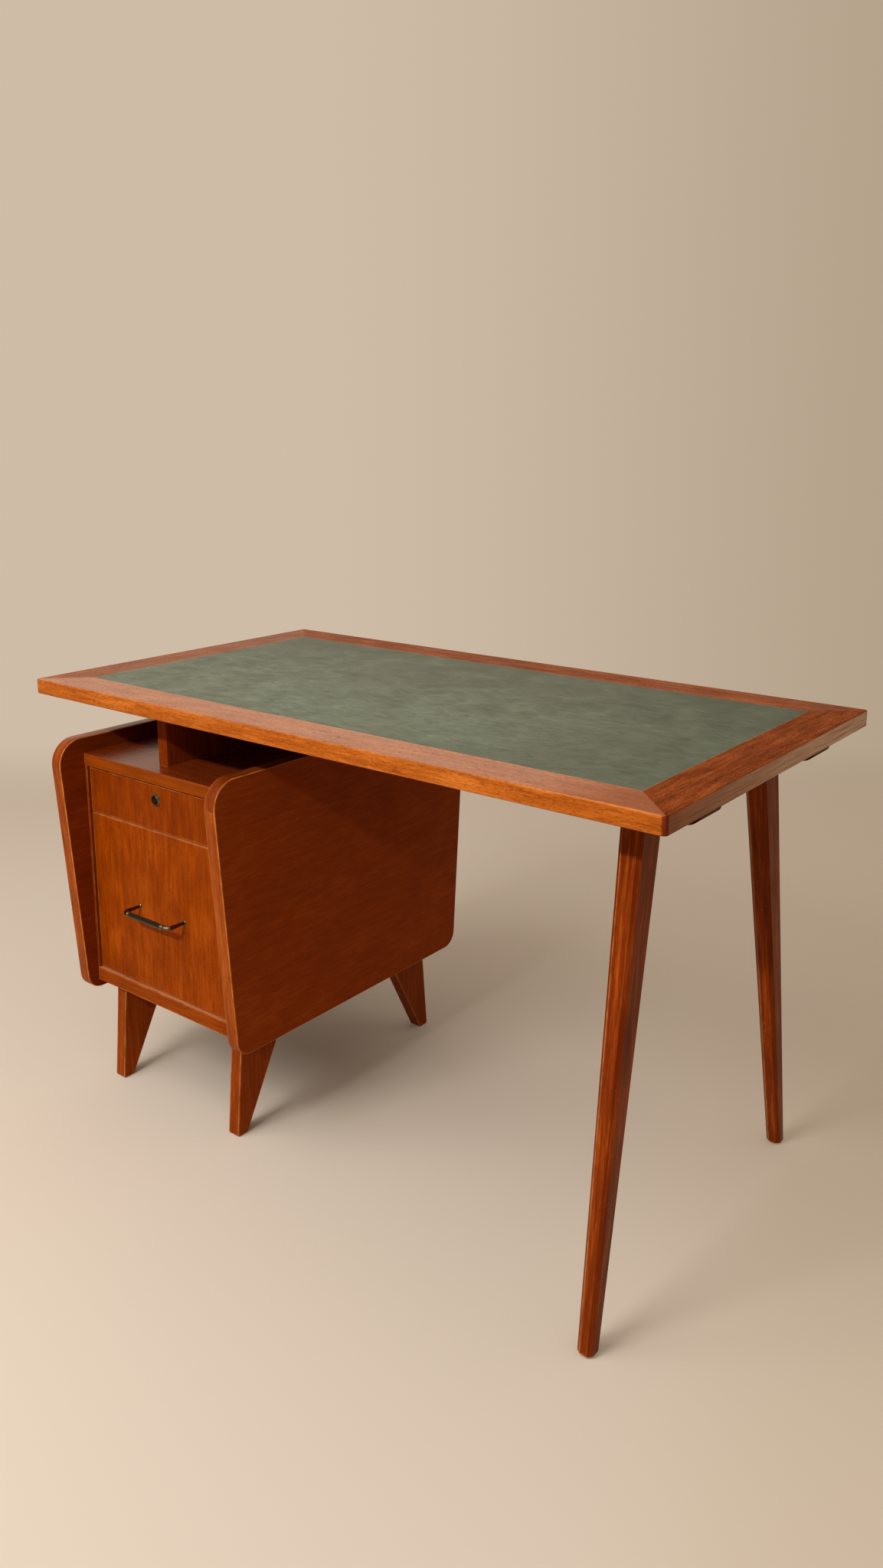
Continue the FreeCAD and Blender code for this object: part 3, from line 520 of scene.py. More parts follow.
# Painted shade: the sheet darkens towards its back and towards its right end.
FAR_SIDE_SHADE_RUN = (-0.05, 0.25, 0.0, 0.55)
FAR_SIDE_SHADE = (0.50, 0.53, 0.46, 1.0)
FAR_END_SHADE_RUN = (0.15, 0.52, 0.0, 0.62)
FAR_END_SHADE = (0.41, 0.46, 0.36, 1.0)
SHEET_ROUGHNESS = (0.34, 0.48)
PEBBLE_EDGE = 0.16
PEBBLE_RELIEF = 0.4


def leatherette():
    """Grey-green embossed writing sheet: mottled tone, short dark creases, a fine pebble, and painted shade
    towards its back and right end.
    """
    material, net, shader = new_material("green_leatherette")
    source = net.add("TexCoord").outputs["Object"]
    cloud = net.noise(source, scale=16.0, detail=4.0, roughness=0.6, distortion=0.6)
    ageing = net.noise(source, scale=(2.4, 4.0, 1.0))
    mottle = net.noise(source, scale=(34.0, 74.0, 30.0), detail=6.0, roughness=0.62, distortion=0.9)
    place = net.parts(source)
    far_end_shade = net.spread(place["X"], *FAR_END_SHADE_RUN)
    far_side_shade = net.spread(place["Y"], *FAR_SIDE_SHADE_RUN)
    pebbles = net.add("TexVoronoi", {"Vector": source, "Scale": 900.0}, feature="DISTANCE_TO_EDGE")
    tone = net.math("ADD", net.times(cloud, CLOUD_WEIGHT), net.times(mottle, MOTTLE_WEIGHT))
    base = net.mix(net.spread(tone, *SHEET_TONES), SHEET_DARK, SHEET_LIGHT)
    base = net.mix(net.spread(ageing, *AGED_RANGE), base, AGED_SHEET)
    # Painted shade towards the back and the right end.
    base = net.mix(far_side_shade, base, FAR_SIDE_SHADE, blend="MULTIPLY")
    base = net.mix(far_end_shade, base, FAR_END_SHADE, blend="MULTIPLY")
    crease = net.noise(source, scale=(46.0, 210.0, 60.0), detail=3.0, distortion=1.2)
    crease = net.times(net.spread(crease, *CREASE_RANGE), net.spread(cloud, *CREASED_CLOUDS))
    base = net.mix(net.times(crease, CREASE_SHARE), base, CREASED_SHEET)
    feed(net, shader, Base_Color=base, Roughness=net.spread(mottle, *MOST, *SHEET_ROUGHNESS),
         Specular_IOR_Level=0.6)
    pebble = net.times(net.spread(pebbles.outputs[0], 0.0, PEBBLE_EDGE), PEBBLE_RELIEF)
    height = net.math("ADD", net.math("SUBTRACT", pebble, crease), mottle)
    bump(net, shader, height, distance=0.00025, strength=0.5)
    return material


# Old metals: bright and dull colours, roughness where bright, how much is dull, and how metallic
METALS = {"tarnished_nickel": (paint(160, 140, 110), paint(34, 26, 18), 0.18, 0.85, 1.0),
          "dark_brass": (paint(92, 76, 54), paint(26, 18, 12), 0.24, 0.9, 1.0),
          "aged_steel": (paint(150, 146, 138), paint(84, 78, 70), 0.34, 0.6, 1.0),
          "dark_bronze": (paint(104, 80, 60), paint(40, 28, 20), 0.32, 0.8, 1.0),
          "pale_nickel": (paint(154, 130, 102), paint(92, 70, 50), 0.36, 0.8, 1.0),
          "blackened_steel": (paint(58, 34, 22), paint(30, 14, 8), 0.5, 0.9, 0.3)}
DULL_ROUGHNESS = 0.25


def old_metal(name):
    """Plated metal with tarnish between its bright and dull colours, and rubbed bright along its edges."""
    material, net, shader = new_material(name)
    bright, dull, rough, amount, metallic = METALS[name]
    source = net.add("TexCoord").outputs["Object"]
    tarnish = net.group("tarnish", Vector=source, Amount=amount)
    worn = net.group("edge_wear", Vector=source, Radius=0.0005, Amount=0.8)["Mask"]
    colour = net.mix(worn, net.mix(tarnish["Mask"], bright, dull), bright)
    feed(net, shader, Base_Color=colour, Metallic=metallic,
         Roughness=net.spread(tarnish["Mask"], 0.0, 1.0, rough, rough + DULL_ROUGHNESS))
    bump(net, shader, tarnish["Height"], distance=0.00004, strength=0.5)
    return material


# Lacquer on the handle's grip: its colours, and its roughness where bright and where dull
LACQUER = paint(34, 31, 22)
DULL_LACQUER = paint(24, 16, 9)
LACQUER_ROUGHNESS = (0.20, 0.36)


def lacquered_grip():
    """Glossy lacquer, nearly black, with duller brown clouds."""
    material, net, shader = new_material("dark_lacquer")
    source = net.add("TexCoord").outputs["Object"]
    tarnish = net.group("tarnish", Vector=source, Amount=0.6)
    colour = net.mix(tarnish["Mask"], LACQUER, DULL_LACQUER)
    feed(net, shader, Base_Color=colour, Roughness=net.spread(tarnish["Mask"], 0.0, 1.0, *LACQUER_ROUGHNESS),
         Coat_Weight=0.2, Coat_Roughness=0.12, Specular_IOR_Level=0.45)
    bump(net, shader, tarnish["Height"], distance=0.00003, strength=0.4)
    return material


def new_object(name, data):
    """An object of the scene that shows some data."""
    item = bpy.data.objects.new(name, data)
    bpy.context.scene.collection.objects.link(item)
    return item


def new_mesh(name, bm, materials):
    """A smooth mesh of what was built, which is then let go."""
    bmesh.ops.recalc_face_normals(bm, faces=bm.faces)
    mesh = bpy.data.meshes.new(name)
    bm.to_mesh(mesh)
    bm.free()
    for material in materials:
        mesh.materials.append(material)
    mesh.shade_smooth()
    return mesh


def only(kind, items):
    return [item for item in items if isinstance(item, kind)]


def new_bmesh_object(name, bm, materials, body, replaced=()):
    """Finishes a mesh as one piece of the desk that rides on a body."""
    bmesh.ops.remove_doubles(bm, verts=bm.verts, dist=WELD_DISTANCE)
    mesh = new_mesh(name, bm, materials)
    mesh.set_sharp_from_angle(angle=SHARP_ANGLE)
    piece = new_object(name, mesh)
    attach(piece, body)
    if replaced:
        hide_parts(*replaced)


def sweep(bm, face, stations, grain=None):
    """Pulls a face through a list of placements, one ring of faces for each."""
    for before, after in zip(stations, stations[1:]):
        made = bmesh.ops.extrude_face_region(bm, geom=[face])["geom"]
        fresh = only(bmesh.types.BMVert, made)
        bmesh.ops.transform(bm, matrix=after @ before.inverted(), verts=fresh)
        face = only(bmesh.types.BMFace, made)[0]
        if grain:
            step = (after.translation - before.translation).length
            for vert in fresh:
                vert[grain] = vert[grain] + Vector((step, 0, 0))


def bend_points(before, corner, after, radius):
    """Points of the arc that rounds a corner between its two neighbours."""
    back = (before - corner).normalized()
    ahead = (after - corner).normalized()
    half = back.angle(ahead) / 2
    centre = corner + (back + ahead).normalized() * (radius / math.sin(half))
    spoke = corner + back * (radius / math.tan(half)) - centre
    turn = math.pi - 2 * half
    return [centre + Matrix.Rotation(-turn * i / BEND_STEPS, 3, "X") @ spoke for i in range(BEND_STEPS + 1)]


def panel_outline(low, high, middle):
    """Closed outline of a side panel in the YZ plane, from the middle of its foot round by the front."""
    upper = PANEL_UPPER_DEPTH / 2
    lower = PANEL_LOWER_DEPTH / 2
    corners = [Vector((0, middle - lower, low)), Vector((0, middle - upper, high)),
               Vector((0, middle + upper, high)), Vector((0, middle + lower, low))]
    radii = [PANEL_LOWER_RADIUS, PANEL_UPPER_RADIUS, PANEL_UPPER_RADIUS, PANEL_LOWER_RADIUS]
    points = [Vector((0, middle, low))]
    for i, radius in enumerate(radii):
        points += bend_points(corners[i - 1], corners[i], corners[(i + 1) % 4], radius)
    return points + points[:1]


def cut_outline(points, seam):
    """The outline's three runs: up the front to the seam, over the top, and down the back from the seam."""
    runs = [[points[0]]]
    for before, after in zip(points, points[1:]):
        if (before.z - seam) * (after.z - seam) < 0:
            joint = before.lerp(after, (seam - before.z) / (after.z - before.z))
            runs[-1].append(joint)
            runs.append([joint])
        runs[-1].append(after)
    return runs


def path_stations(points):
    """Placements along a run of points, turned so that X runs ahead and Z points out of the panel."""
    stations = []
    for i, point in enumerate(points):
        back = point - points[max(i - 1, 0)]
        onward = points[min(i + 1, len(points) - 1)] - point
        ahead = (back.normalized() + onward.normalized()).normalized()
        across = Vector((-1, 0, 0))
        rotation = Matrix((ahead, across, ahead.cross(across))).transposed().to_4x4()
        stations.append(Matrix.Translation(point) @ rotation)
    return stations


def make_lipping(name, left, right, path, materials):
    """One length of solid lipping with rounded outer arrises, bent round the panel's edge.

    The panel's veneer runs over the lipping's side faces, so these carry the panel's finish."""
    bm = bmesh.new()
    grain = bm.verts.layers.float_vector.new("grain")
    width = right - left
    thick = LIPPING_THICK + LIPPING_OVERLAP
    bmesh.ops.create_grid(bm, x_segments=1, y_segments=1, size=0.5)
    section = Matrix(((0, 0, 1, 0), (width, 0, 0, 0), (0, thick, 0, -thick / 2), (0, 0, 0, 1)))
    bmesh.ops.transform(bm, matrix=section, verts=bm.verts)
    outer = [vert for vert in bm.verts if vert.co.z > -thick / 2]
    bmesh.ops.bevel(bm, geom=outer, offset=LIPPING_ARRIS, segments=ARRIS_STEPS, profile=0.5,
                    affect="VERTICES", material=-1)
    for vert in bm.verts:
        vert[grain] = vert.co.copy()
    stations = path_stations(path)
    bmesh.ops.transform(bm, matrix=stations[0], verts=bm.verts)
    sweep(bm, bm.faces[:][0], stations, grain)
    bmesh.ops.translate(bm, vec=((left + right) / 2, 0, 0), verts=bm.verts)
    for face in bm.faces:
        face.normal_update()
        face.material_index = 1 if abs(face.normal.x) > SIDE_FACE else 0
    new_bmesh_object(name + "_oak", bm, materials, "desk", [name])


def make_pins(name, middle, path, metal):
    """Punched pin heads up the front of one lipping, near its right arris."""
    bm = bmesh.new()
    stations = path_stations(path)
    for height in PIN_HEIGHTS:
        ahead = next(i for i, point in enumerate(path) if point.z > height)
        share = (height - path[ahead - 1].z) / (path[ahead].z - path[ahead - 1].z)
        turn = stations[ahead].to_3x3()
        start = path[ahead - 1].lerp(path[ahead], share) + Vector((middle + PIN_OFFSET, 0, 0))
        start -= turn.col[2] * PIN_SUNK
        crown = (PIN_SUNK + PIN_PROUD, PIN_RADIUS * PIN_CROWN_SHARE)
        profile = [(0.0, PIN_RADIUS), (PIN_SUNK, PIN_RADIUS), crown]
        pin = turned_stations(start, turn.col[2], profile)
        sweep(bm, round_face(bm, pin[0]), pin)
    new_bmesh_object(name, bm, [metal], "desk")


def make_lippings(panels, pin_metal):
    """All six lipping lengths, each with its own cut of oak, and their pins."""
    for side in ("left", "right"):
        low_front, high_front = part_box("lipping_front_" + side)
        low_top, high_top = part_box("lipping_top_" + side)
        points = panel_outline(low_front.z, high_top.z, (low_top.y + high_top.y) / 2)
        paths = cut_outline(points, high_front.z)
        for number, (name, path) in enumerate(zip(("front", "top", "back"), paths)):
            node = "lipping_" + name + "_" + side
            place = (0.37 * number, 0.11 * number, 0.23 if side == "left" else 0.61)
            finish = BENDS if name == "top" else LIPPINGS
            half = (high_top.x - low_top.x) / 2
            material = oak(node + "_finish", finish, LONG, place, half_width=half)
            make_lipping(node, low_top.x, high_top.x, path, [material, panels[side]])
        front = [point for point in points if point.y < PIN_REACH]
        make_pins("lipping_pins_" + side, (low_top.x + high_top.x) / 2, front, pin_metal)


def turned_stations(start, axis, profile):
    """Placements for a turned shape: each profile pair is a distance along the axis and a radius."""
    turn = Vector((0, 0, 1)).rotation_difference(Vector(axis)).to_matrix().to_4x4()
    return [Matrix.Translation(start) @ turn @ Matrix.Translation((0, 0, distance)) @ Matrix.Scale(radius, 4)
            for distance, radius in profile]


def round_face(bm, placement):
    """A filled unit circle put at a placement."""
    made = bmesh.ops.create_circle(bm, cap_ends=True, radius=1.0, segments=ROUND_SIDES)
    bmesh.ops.transform(bm, matrix=placement, verts=made["verts"])
    return made["verts"][0].link_faces[0]


def profile_of(shares, length, radius):
    """A turned profile from pairs of shares, of a length along the axis and of a radius."""
    return [(length * along, radius * across) for along, across in shares]


def turned_mesh(start, axis, profile):
    """A solid turned from a profile."""
    bm = bmesh.new()
    stations = turned_stations(start, axis, profile)
    sweep(bm, round_face(bm, stations[0]), stations)
    return bm


def make_handle_arm(side, sign, wall, joint, metals):
    """One arm: its rose, its taper out from the drawer's front, its elbow, and its run in to the collar."""
    reach = wall.y - joint.y - ELBOW_BEND
    profile = profile_of(ROSE_SHARES, ROSE_THICK, ROSE_RADIUS)
    profile += profile_of(ARM_ROOT_SHARES, ROSE_THICK, ARM_WALL_RADIUS)
    profile.append((reach * ARM_MIDDLE_SHARE, (ARM_WALL_RADIUS + ARM_ELBOW_RADIUS) / 2))
    profile.append((reach, ARM_ELBOW_RADIUS))
    bm = bmesh.new()
    stations = turned_stations(wall, (0, -1, 0), profile)
    face = round_face(bm, stations[0])
    hub = Vector((wall.x - sign * ELBOW_BEND, joint.y + ELBOW_BEND, wall.z))
    last = stations[-1]
    for i in range(1, ELBOW_STEPS + 1):
        swing = Matrix.Rotation(-sign * math.pi / 2 * i / ELBOW_STEPS, 4, "Z")
        stations.append(Matrix.Translation(hub) @ swing @ Matrix.Translation(-hub) @ last)
    run = Matrix.Translation((joint.x - stations[-1].translation.x, 0, 0))
    stations.append(run @ stations[-1])
    sweep(bm, face, stations)
    # Painted highlight: the roses and, on the right arm only, the last part of the elbow take the pale metal.
    for ring in bm.faces:
        middle = ring.calc_center_median()
        highlit_elbow = sign > 0 and middle.y < joint.y + ELBOW_BEND * HIGHLIT_ELBOW_SHARE
        ring.material_index = 1 if highlit_elbow or middle.y > wall.y - ROSE_THICK else 0
    new_bmesh_object("handle_arm_" + side + "_bent", bm, [metals["arm"], metals["collar"]], "lower_drawer",
                     ["handle_arm_" + side])


def make_handle_collar(side, sign, joint, length, metal):
    """Pale collar between an arm and the grip, with a groove round it."""
    bm = turned_mesh(joint, (-sign, 0, 0), profile_of(COLLAR_SHARES, length, COLLAR_RADIUS))
    replaced = ["handle_ferrules"] if sign > 0 else []
    new_bmesh_object("handle_collar_" + side, bm, [metal], "lower_drawer", replaced)


def make_handle_grip(start, length, metal):
    """Round grip that is a little fuller in its middle."""
    end_radius = GRIP_RADIUS * GRIP_END_RADIUS_SHARE
    profile = [(0.0, end_radius), (length * GRIP_END_SHARE, GRIP_RADIUS)]
    profile += [(length * share, GRIP_RADIUS + GRIP_BELLY * math.sin(math.pi * share))
                for share in GRIP_BELLY_SHARES]
    profile += [(length * (1 - GRIP_END_SHARE), GRIP_RADIUS), (length, end_radius)]
    bm = turned_mesh(start, (1, 0, 0), profile)
    new_bmesh_object("handle_grip_tube", bm, [metal], "lower_drawer", ["handle_grip"])


def make_handle(metals):
    """Bow handle: tapered bent arms on small roses, pale collars at the elbows and a dark grip."""
    grip_low, grip_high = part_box("handle_grip")
    ferrules_low, ferrules_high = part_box("handle_ferrules")
    depth = (grip_low.y + grip_high.y) / 2
    for side, sign, inner, end in (("left", -1, ferrules_low.x, grip_low.x),
                                   ("right", 1, ferrules_high.x, grip_high.x)):
        low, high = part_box("handle_arm_" + side)
        height = (low.z + high.z) / 2
        wall = Vector(((high.x if sign > 0 else low.x) - sign * ARM_FOOT_RADIUS, high.y, height))
        joint = Vector((inner, depth, height))
        make_handle_arm(side, sign, wall, joint, metals)
        make_handle_collar(side, sign, joint, abs(inner - end), metals["collar"])
    make_handle_grip(Vector((grip_low.x, depth, height)), grip_high.x - grip_low.x, metals["grip"])


def make_rosette(metal):
    """Turned lock rosette with a raised ring and a sunk seat, bored for the key cylinder."""
    low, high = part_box("lock_rosette")
    centre = Vector(((low.x + high.x) / 2, high.y, (low.z + high.z) / 2))
    radius = (high.x - low.x) / 2
    thick = high.y - low.y
    profile = profile_of(RIM_SHARES, thick, radius)
    profile += [(thick - ROSETTE_WELL * deep, radius - ROSETTE_LIP * inward) for deep, inward in WELL_SHARES]
    bm = turned_mesh(centre, (0, -1, 0), profile)
    bore = KEY_CYLINDER_RADIUS + BORE_CLEARANCE
    caps = [face for face in bm.faces if len(face.verts) == ROUND_SIDES]
    for cap in caps:
        bmesh.ops.inset_individual(bm, faces=[cap], thickness=0.0)
        middle = cap.calc_center_median()
        outer = (cap.verts[0].co - middle).length
        for vert in cap.verts:
            vert.co = middle + (vert.co - middle) * (bore / outer)
    bmesh.ops.bridge_loops(bm, edges=[edge for cap in caps for edge in cap.edges])
    bmesh.ops.delete(bm, geom=caps, context="FACES_ONLY")
    new_bmesh_object("lock_rosette_ring", bm, [metal], "upper_drawer", ["lock_rosette"])


# The stage is turned with the camera: its depth runs away from the camera over the floor, its width rightward
CAMERA_TURN = math.radians(38.112)
AWAY = Vector((-math.sin(CAMERA_TURN), math.cos(CAMERA_TURN), 0))
RIGHTWARD = Vector((math.cos(CAMERA_TURN), math.sin(CAMERA_TURN), 0))
STAGE_WIDTH = 16.0
STAGE_NEAR = -5.0
STAGE_FIRST_STRIP = 0.5
STAGE_FLAT_END = 2.6
STAGE_CURVE = 1.6
STAGE_HIGH = 5.0
STAGE_STEPS = 24

# How the paper glows for the camera: where along its depth and width each glow sets in, and how strong it is.
# The glow is painted light: paler on the left and towards the camera, darker on the right, and it covers
# part of the lit paper, more on the right and all of the far wall, so that shadows there show fainter.
WALL_FADE = (1.5, 2.6)
WALL_CLIMB = 9.0
NEAR_FADE = (-0.05, 0.55)
LEFT_GLOW = 0.13
RIGHT_GLOW = 0.37
GLOW_SIDE = (0.02, 0.34)
NEAR_RUN = (0.40, -0.90, 1.0, 1.38)
SIDE_FADE = (-0.14, 0.46)
CAMERA_DEPTH = -1.90
FLOOR_COLOUR = paint(223, 210, 195)
FLOOR_RIGHT = paint(172, 150, 124)
BOUNCE_COLOUR = paint(200, 176, 146)
BACKDROP_LEFT = paint(207, 188, 167)
BACKDROP_RIGHT = paint(178, 160, 137)
PAPER_ROUGHNESS = (0.85, 0.95)


def pull(bm, edge, step):
    """Draws a strip of faces out of an edge, and gives the edge at its far side."""
    made = bmesh.ops.extrude_edge_only(bm, edges=[edge])["geom"]
    bmesh.ops.translate(bm, vec=step, verts=only(bmesh.types.BMVert, made))
    return only(bmesh.types.BMEdge, made)[0]


def paper_mesh():
    """Floor, curve and wall in one sheet across the camera's view."""
    bm = bmesh.new()
    bmesh.ops.create_grid(bm, x_segments=1, y_segments=1, size=0.5)
    strip = (RIGHTWARD * STAGE_WIDTH, AWAY * STAGE_FIRST_STRIP, Vector((0, 0, 1)))
    spread = Matrix(strip).transposed().to_4x4()
    bmesh.ops.transform(bm, matrix=Matrix.Translation(AWAY * STAGE_NEAR) @ spread, verts=bm.verts)
    rim = max(bm.edges, key=lambda edge: sum(vert.co.dot(AWAY) for vert in edge.verts))
    rim = pull(bm, rim, AWAY * (STAGE_FLAT_END - STAGE_NEAR))
    before = Vector((0, 0, 0))
    for i in range(1, STAGE_STEPS + 1):
        angle = math.pi / 2 * i / STAGE_STEPS
        now = AWAY * math.sin(angle) * STAGE_CURVE + Vector((0, 0, (1 - math.cos(angle)) * STAGE_CURVE))
        rim = pull(bm, rim, now - before)
        before = now
    pull(bm, rim, Vector((0, 0, STAGE_HIGH - STAGE_CURVE)))
    return new_mesh("paper_sweep", bm, [paper_finish()])


def paper_glow(net, source, seen):
    """The colour and strength of the paper's own glow, and how much of it covers the lit paper."""
    depth = net.dot(source, tuple(AWAY))
    side = net.dot(source, tuple(RIGHTWARD))
    height = net.parts(source)["Z"]
    slant = net.math("DIVIDE", side, net.math("SUBTRACT", depth, CAMERA_DEPTH))
    wall = net.ease(net.math("MAXIMUM", depth, net.times(height, WALL_CLIMB)), *WALL_FADE)
    colour = net.mix(net.ease(slant, *SIDE_FADE), BACKDROP_LEFT, net.mix(wall, FLOOR_RIGHT, BACKDROP_RIGHT))
    strength = net.spread(depth, *NEAR_RUN)
    right_part = net.ease(slant, *GLOW_SIDE)
    left_part = net.times(net.math("SUBTRACT", 1.0, right_part), net.ease(depth, *NEAR_FADE))
    glow = net.math("ADD", net.times(right_part, RIGHT_GLOW), net.times(left_part, LEFT_GLOW))
    return colour, strength, net.times(net.math("MAXIMUM", glow, wall), seen)


def paper_finish():
    """Matt paper; what the camera and glossy faces see of it glows a little, as the photo's backdrop does."""
    material, net, shader = new_material("pale_paper")
    source = net.add("TexCoord").outputs["Object"]
    grain = net.noise(source, scale=3.0, detail=3.0)
    light = net.add("LightPath").outputs
    # Painted light: the camera sees the paper paler than the colour it throws light back with.
    feed(net, shader, Base_Color=net.mix(light["Is Camera Ray"], BOUNCE_COLOUR, FLOOR_COLOUR),
         Roughness=net.spread(grain, *MOST, *PAPER_ROUGHNESS), Specular_IOR_Level=0.1)
    seen = net.math("MAXIMUM", light["Is Camera Ray"], light["Is Glossy Ray"])
    colour, strength, share = paper_glow(net, source, seen)
    backdrop = net.add("Emission", {"Color": colour, "Strength": strength})
    blend = net.add("MixShader", {0: share, 1: shader.outputs["BSDF"], 2: backdrop.outputs["Emission"]})
    output = material.node_tree.nodes["Material Output"]
    net.link(blend.outputs["Shader"], output.inputs["Surface"])
    return material


def make_stage():
    """Seamless paper under and behind the desk."""
    paper = new_object("paper_sweep", paper_mesh())


# Soft light all round: its colour, its strengths below and above, and where it rises from one to the other
AMBIENT_COLOUR = (1.0, 0.88, 0.74, 1.0)
AMBIENT_STRENGTHS = (0.10, 0.58)
AMBIENT_RISE = (0.05, 0.60)
GLOSS_STRENGTH = 0.06


def make_world():
    """Soft light, weaker towards the floor; what shines sees a darker room, and the camera a pale one."""
    world = bpy.data.worlds.new("studio")
    world.use_nodes = True
    bpy.context.scene.world = world
    net = Net(world.node_tree)
    output = world.node_tree.nodes["World Output"]
    soft = world.node_tree.nodes["Background"]
    soft.inputs["Color"].default_value = AMBIENT_COLOUR
    upward = net.parts(net.add("TexCoord").outputs["Generated"])["Z"]
    strength = net.spread(upward, *AMBIENT_RISE, *AMBIENT_STRENGTHS)
    net.link(strength, soft.inputs["Strength"])
    light = net.add("LightPath").outputs
    dark = net.add("Background", {"Color": AMBIENT_COLOUR, "Strength": GLOSS_STRENGTH})
    blend = net.add("MixShader", {0: light["Is Glossy Ray"], 1: soft.outputs["Background"],
                                  2: dark.outputs["Background"]})
    pale = net.add("Background", {"Color": BACKDROP_RIGHT})
    seen = net.add("MixShader", {0: light["Is Camera Ray"], 1: blend.outputs["Shader"],
                                 2: pale.outputs["Background"]})
    net.link(seen.outputs["Shader"], output.inputs["Surface"])


# A small lamp that draws the crisp shadows on the desk, a softbox on the left for the paper's faint ones, and
# a wide softbox high on the left for both
LAMP_COLOUR = (1.0, 0.985, 0.96)
LAMPS = {
    "desk_lamp": dict(place=(0.20, -2.60, 2.38), aim=(-0.10, 0.0, 0.45), size=0.10, power=58.0,
                      colour=LAMP_COLOUR),
    "paper_softbox": dict(place=(-0.42, -2.60, 2.38), aim=(-0.10, 0.0, 0.45), size=1.2, power=46.0,
                          colour=LAMP_COLOUR),
    "wide_softbox": dict(place=(-0.95, -1.85, 3.00), aim=(0.0, 0.0, 0.3), size=2.0, power=38.0,
                         colour=(1.0, 0.98, 0.95)),
}
# Which lamps light the paper alone, and which light all but the paper
PAPER_LINKS = {"paper_softbox": "INCLUDE", "desk_lamp": "EXCLUDE"}


def make_light(name, place, aim, size, power, colour):
    """A square lamp that looks at a point."""
    lamp = bpy.data.lights.new(name, "AREA")
    lamp.shape = "SQUARE"
    lamp.size = size
    lamp.energy = power
    lamp.color = colour
    light = new_object(name, lamp)
    light.location = place
    light.rotation_euler = (Vector(aim) - Vector(place)).to_track_quat("-Z", "Y").to_euler()
    if name in PAPER_LINKS:
        lit = bpy.data.collections.new(name + "_lights")
        lit.objects.link(bpy.data.objects["paper_sweep"])
        lit.collection_objects[0].light_linking.link_state = PAPER_LINKS[name]
        light.light_linking.receiver_collection = lit


# Camera at the photograph's place; the picture is 1153 by 2048 and its focal length is in its pixels
PICTURE_HEIGHT = 2048
FOCAL_PIXELS = 1571.8
AXIS_ROW = 905
CAMERA_PLACE = (1.1893, -1.4812, 1.1853)
CAMERA_TILT = math.radians(90 - 12.602)
SENSOR = 36.0


def make_camera():
    lens = bpy.data.cameras.new("camera")
    lens.sensor_width = SENSOR
    lens.lens = FOCAL_PIXELS / PICTURE_HEIGHT * SENSOR
    lens.shift_y = (AXIS_ROW - PICTURE_HEIGHT / 2) / PICTURE_HEIGHT
    camera = new_object("camera", lens)
    camera.location = CAMERA_PLACE
    camera.rotation_euler = (CAMERA_TILT, 0.0, CAMERA_TURN)
    bpy.context.scene.camera = camera


def dress(name, material):
    """Gives a carried-over node its finish."""
    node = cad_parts[name]
    for slot in node.material_slots:
        slot.material = material
    if not node.material_slots:
        node.data.materials.append(material)


# Border members with their finishes and grain, and the long legs' grain
BORDER_BOARDS = {"front": (BORDERS, LONG), "right": (WORN_AND_SHADED_BORDERS, DEEP), "back": (BACK_BORDERS, LONG),
                 "left": (LEFT_BORDERS, DEEP)}
LEG_GRAIN = {"front": (-0.015, 0.123, 0.713), "back": (-0.015, -0.123, 0.713)}


def dress_top():
    """Border, core board and long legs with their cleats, each at its own place in the figure."""
    for number, (end, (finish, along)) in enumerate(BORDER_BOARDS.items()):
        dress("top_border_" + end, oak("border_" + end, finish, along, (0.4 * number, 0.3 * number, 0.1)))
    dress("top_core", oak("core_board", CORES, LONG, (0.2, 0.5, 0.0)))
    for number, (end, along) in enumerate(LEG_GRAIN.items()):
        dress("long_leg_" + end, oak("leg_" + end, LEGS, along, (0.3 * number, 0.2, 0.7 * number)))
        dress("leg_cleat_" + end, oak("cleat_" + end, CLEATS, LONG, (0.9, 0.4 * number, 0.0)))


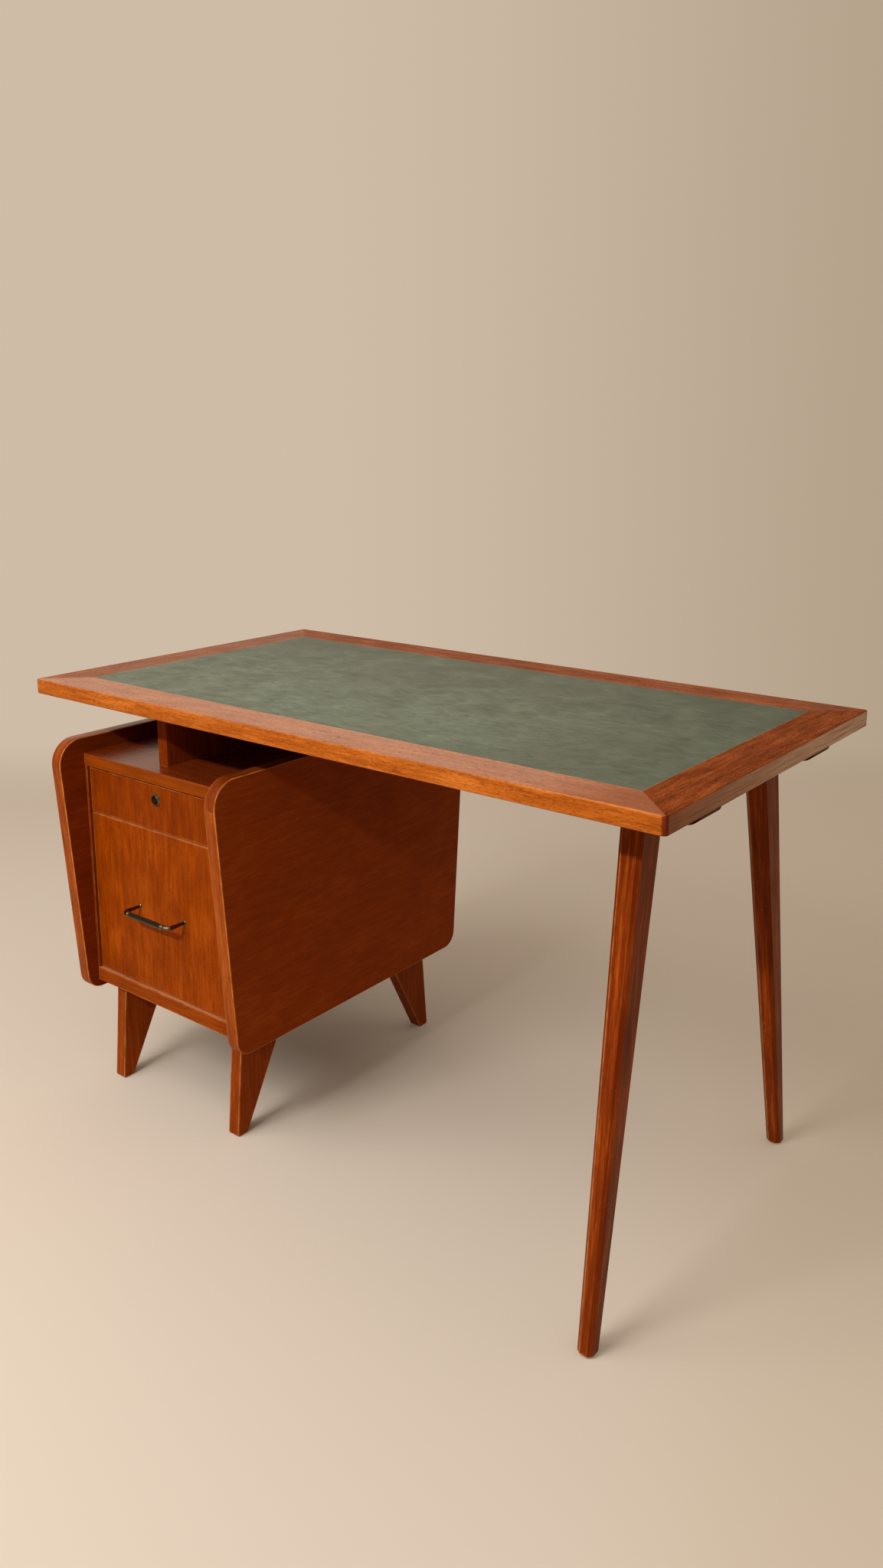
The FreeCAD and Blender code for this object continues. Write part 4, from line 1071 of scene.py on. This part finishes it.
def dress_pedestal():
    """Panels, stiles, boards and short legs of the pedestal; gives its two panels' finishes."""
    panels = {}
    for number, (side, finish) in enumerate((("left", PAINTED_SHADE_LEFT_PANELS), ("right", PANELS))):
        panels[side] = oak("panel_" + side, finish, DEEP, (0.5 * number, 0.8, 0.3))
        dress("side_panel_" + side, panels[side])
        dress("stile_" + side, oak("stile_grain_" + side, PLAIN, TALL, (0.3 * number, 0.0, 0.2)))
        for turn, end in enumerate(("front", "back")):
            name = "short_leg_" + end + "_" + side
            dress(name, oak(name + "_grain", SHORT_LEGS, TALL, (0.45 * number, 0.2 + 0.5 * turn, 0.1)))
    dress("riser_board", oak("riser", RISERS, TALL, (0.2, 0.2, 0.6)))
    dress("pedestal_top", oak("shelf", SHELVES, LONG, (0.6, 0.0, 0.2)))
    dress("front_rail", oak("rail", RAILS, LONG, (0.1, 0.9, 0.2)))
    dress("pedestal_bottom", oak("bottom_board", CORES, LONG, (0.7, 0.2, 0.4)))
    dress("pedestal_back", oak("back_board", PANELS, LONG, (0.2, 0.6, 0.9)))
    return panels


def dress_drawers():
    """Fronts, boxes and runners of both drawers, and all dowels; one veneer figure runs over both fronts,
    darker on the upper front as painted shade.
    """
    dress("upper_drawer_front", oak("upper_front_painted_shade_veneer", PAINTED_SHADE_UPPER_FRONTS, TALL, (0.15, 0.35, 0.4)))
    dress("lower_drawer_front", oak("drawer_front_veneer", FRONTS, TALL, (0.15, 0.35, 0.4)))
    for level in ("upper", "lower"):
        for number, side in enumerate(("left", "right")):
            box_side = oak(level + "_side_" + side, PALE, DEEP, (0.3 * number, 0.1, 0.2))
            dress(level + "_drawer_side_" + side, box_side)
            runner = oak(level + "_runner_" + side, PALE, DEEP, (0.2, 0.4 * number, 0.8))
            dress("runner_" + level + "_" + side, runner)
        dress(level + "_drawer_back", oak(level + "_back", PALE, LONG, (0.5, 0.1, 0.7)))
        dress(level + "_drawer_bottom", oak(level + "_bottom", PALE, LONG, (0.9, 0.6, 0.1)))
    dowel_wood = oak("dowel_wood", PALE, LONG, (0.3, 0.3, 0.3))
    dress("dowels", dowel_wood)
    dress("leg_dowels", dowel_wood)


def dress_metal():
    """Lock, strike and screws, the rosette and the handle."""
    steel = old_metal("aged_steel")
    for name in ("lock_case", "lock_bolt", "strike_plate", "lock_screws", "handle_screws", "runner_screws",
                 "cleat_screws", "short_leg_screws"):
        dress(name, steel)
    dress("lock_cylinder", old_metal("dark_brass"))
    make_rosette(old_metal("tarnished_nickel"))
    make_handle({"arm": old_metal("dark_bronze"), "collar": old_metal("pale_nickel"),
                 "grip": lacquered_grip()})


build_oak_figure()
build_edge_wear()
build_scuffs()
build_tarnish()
make_camera()
make_world()
make_stage()
for name, lamp in LAMPS.items():
    make_light(name, **lamp)
dress_top()
make_lippings(dress_pedestal(), old_metal("blackened_steel"))
dress_drawers()
dress("writing_inlay", leatherette())
dress_metal()
bpy.context.scene.view_settings.view_transform = "Standard"
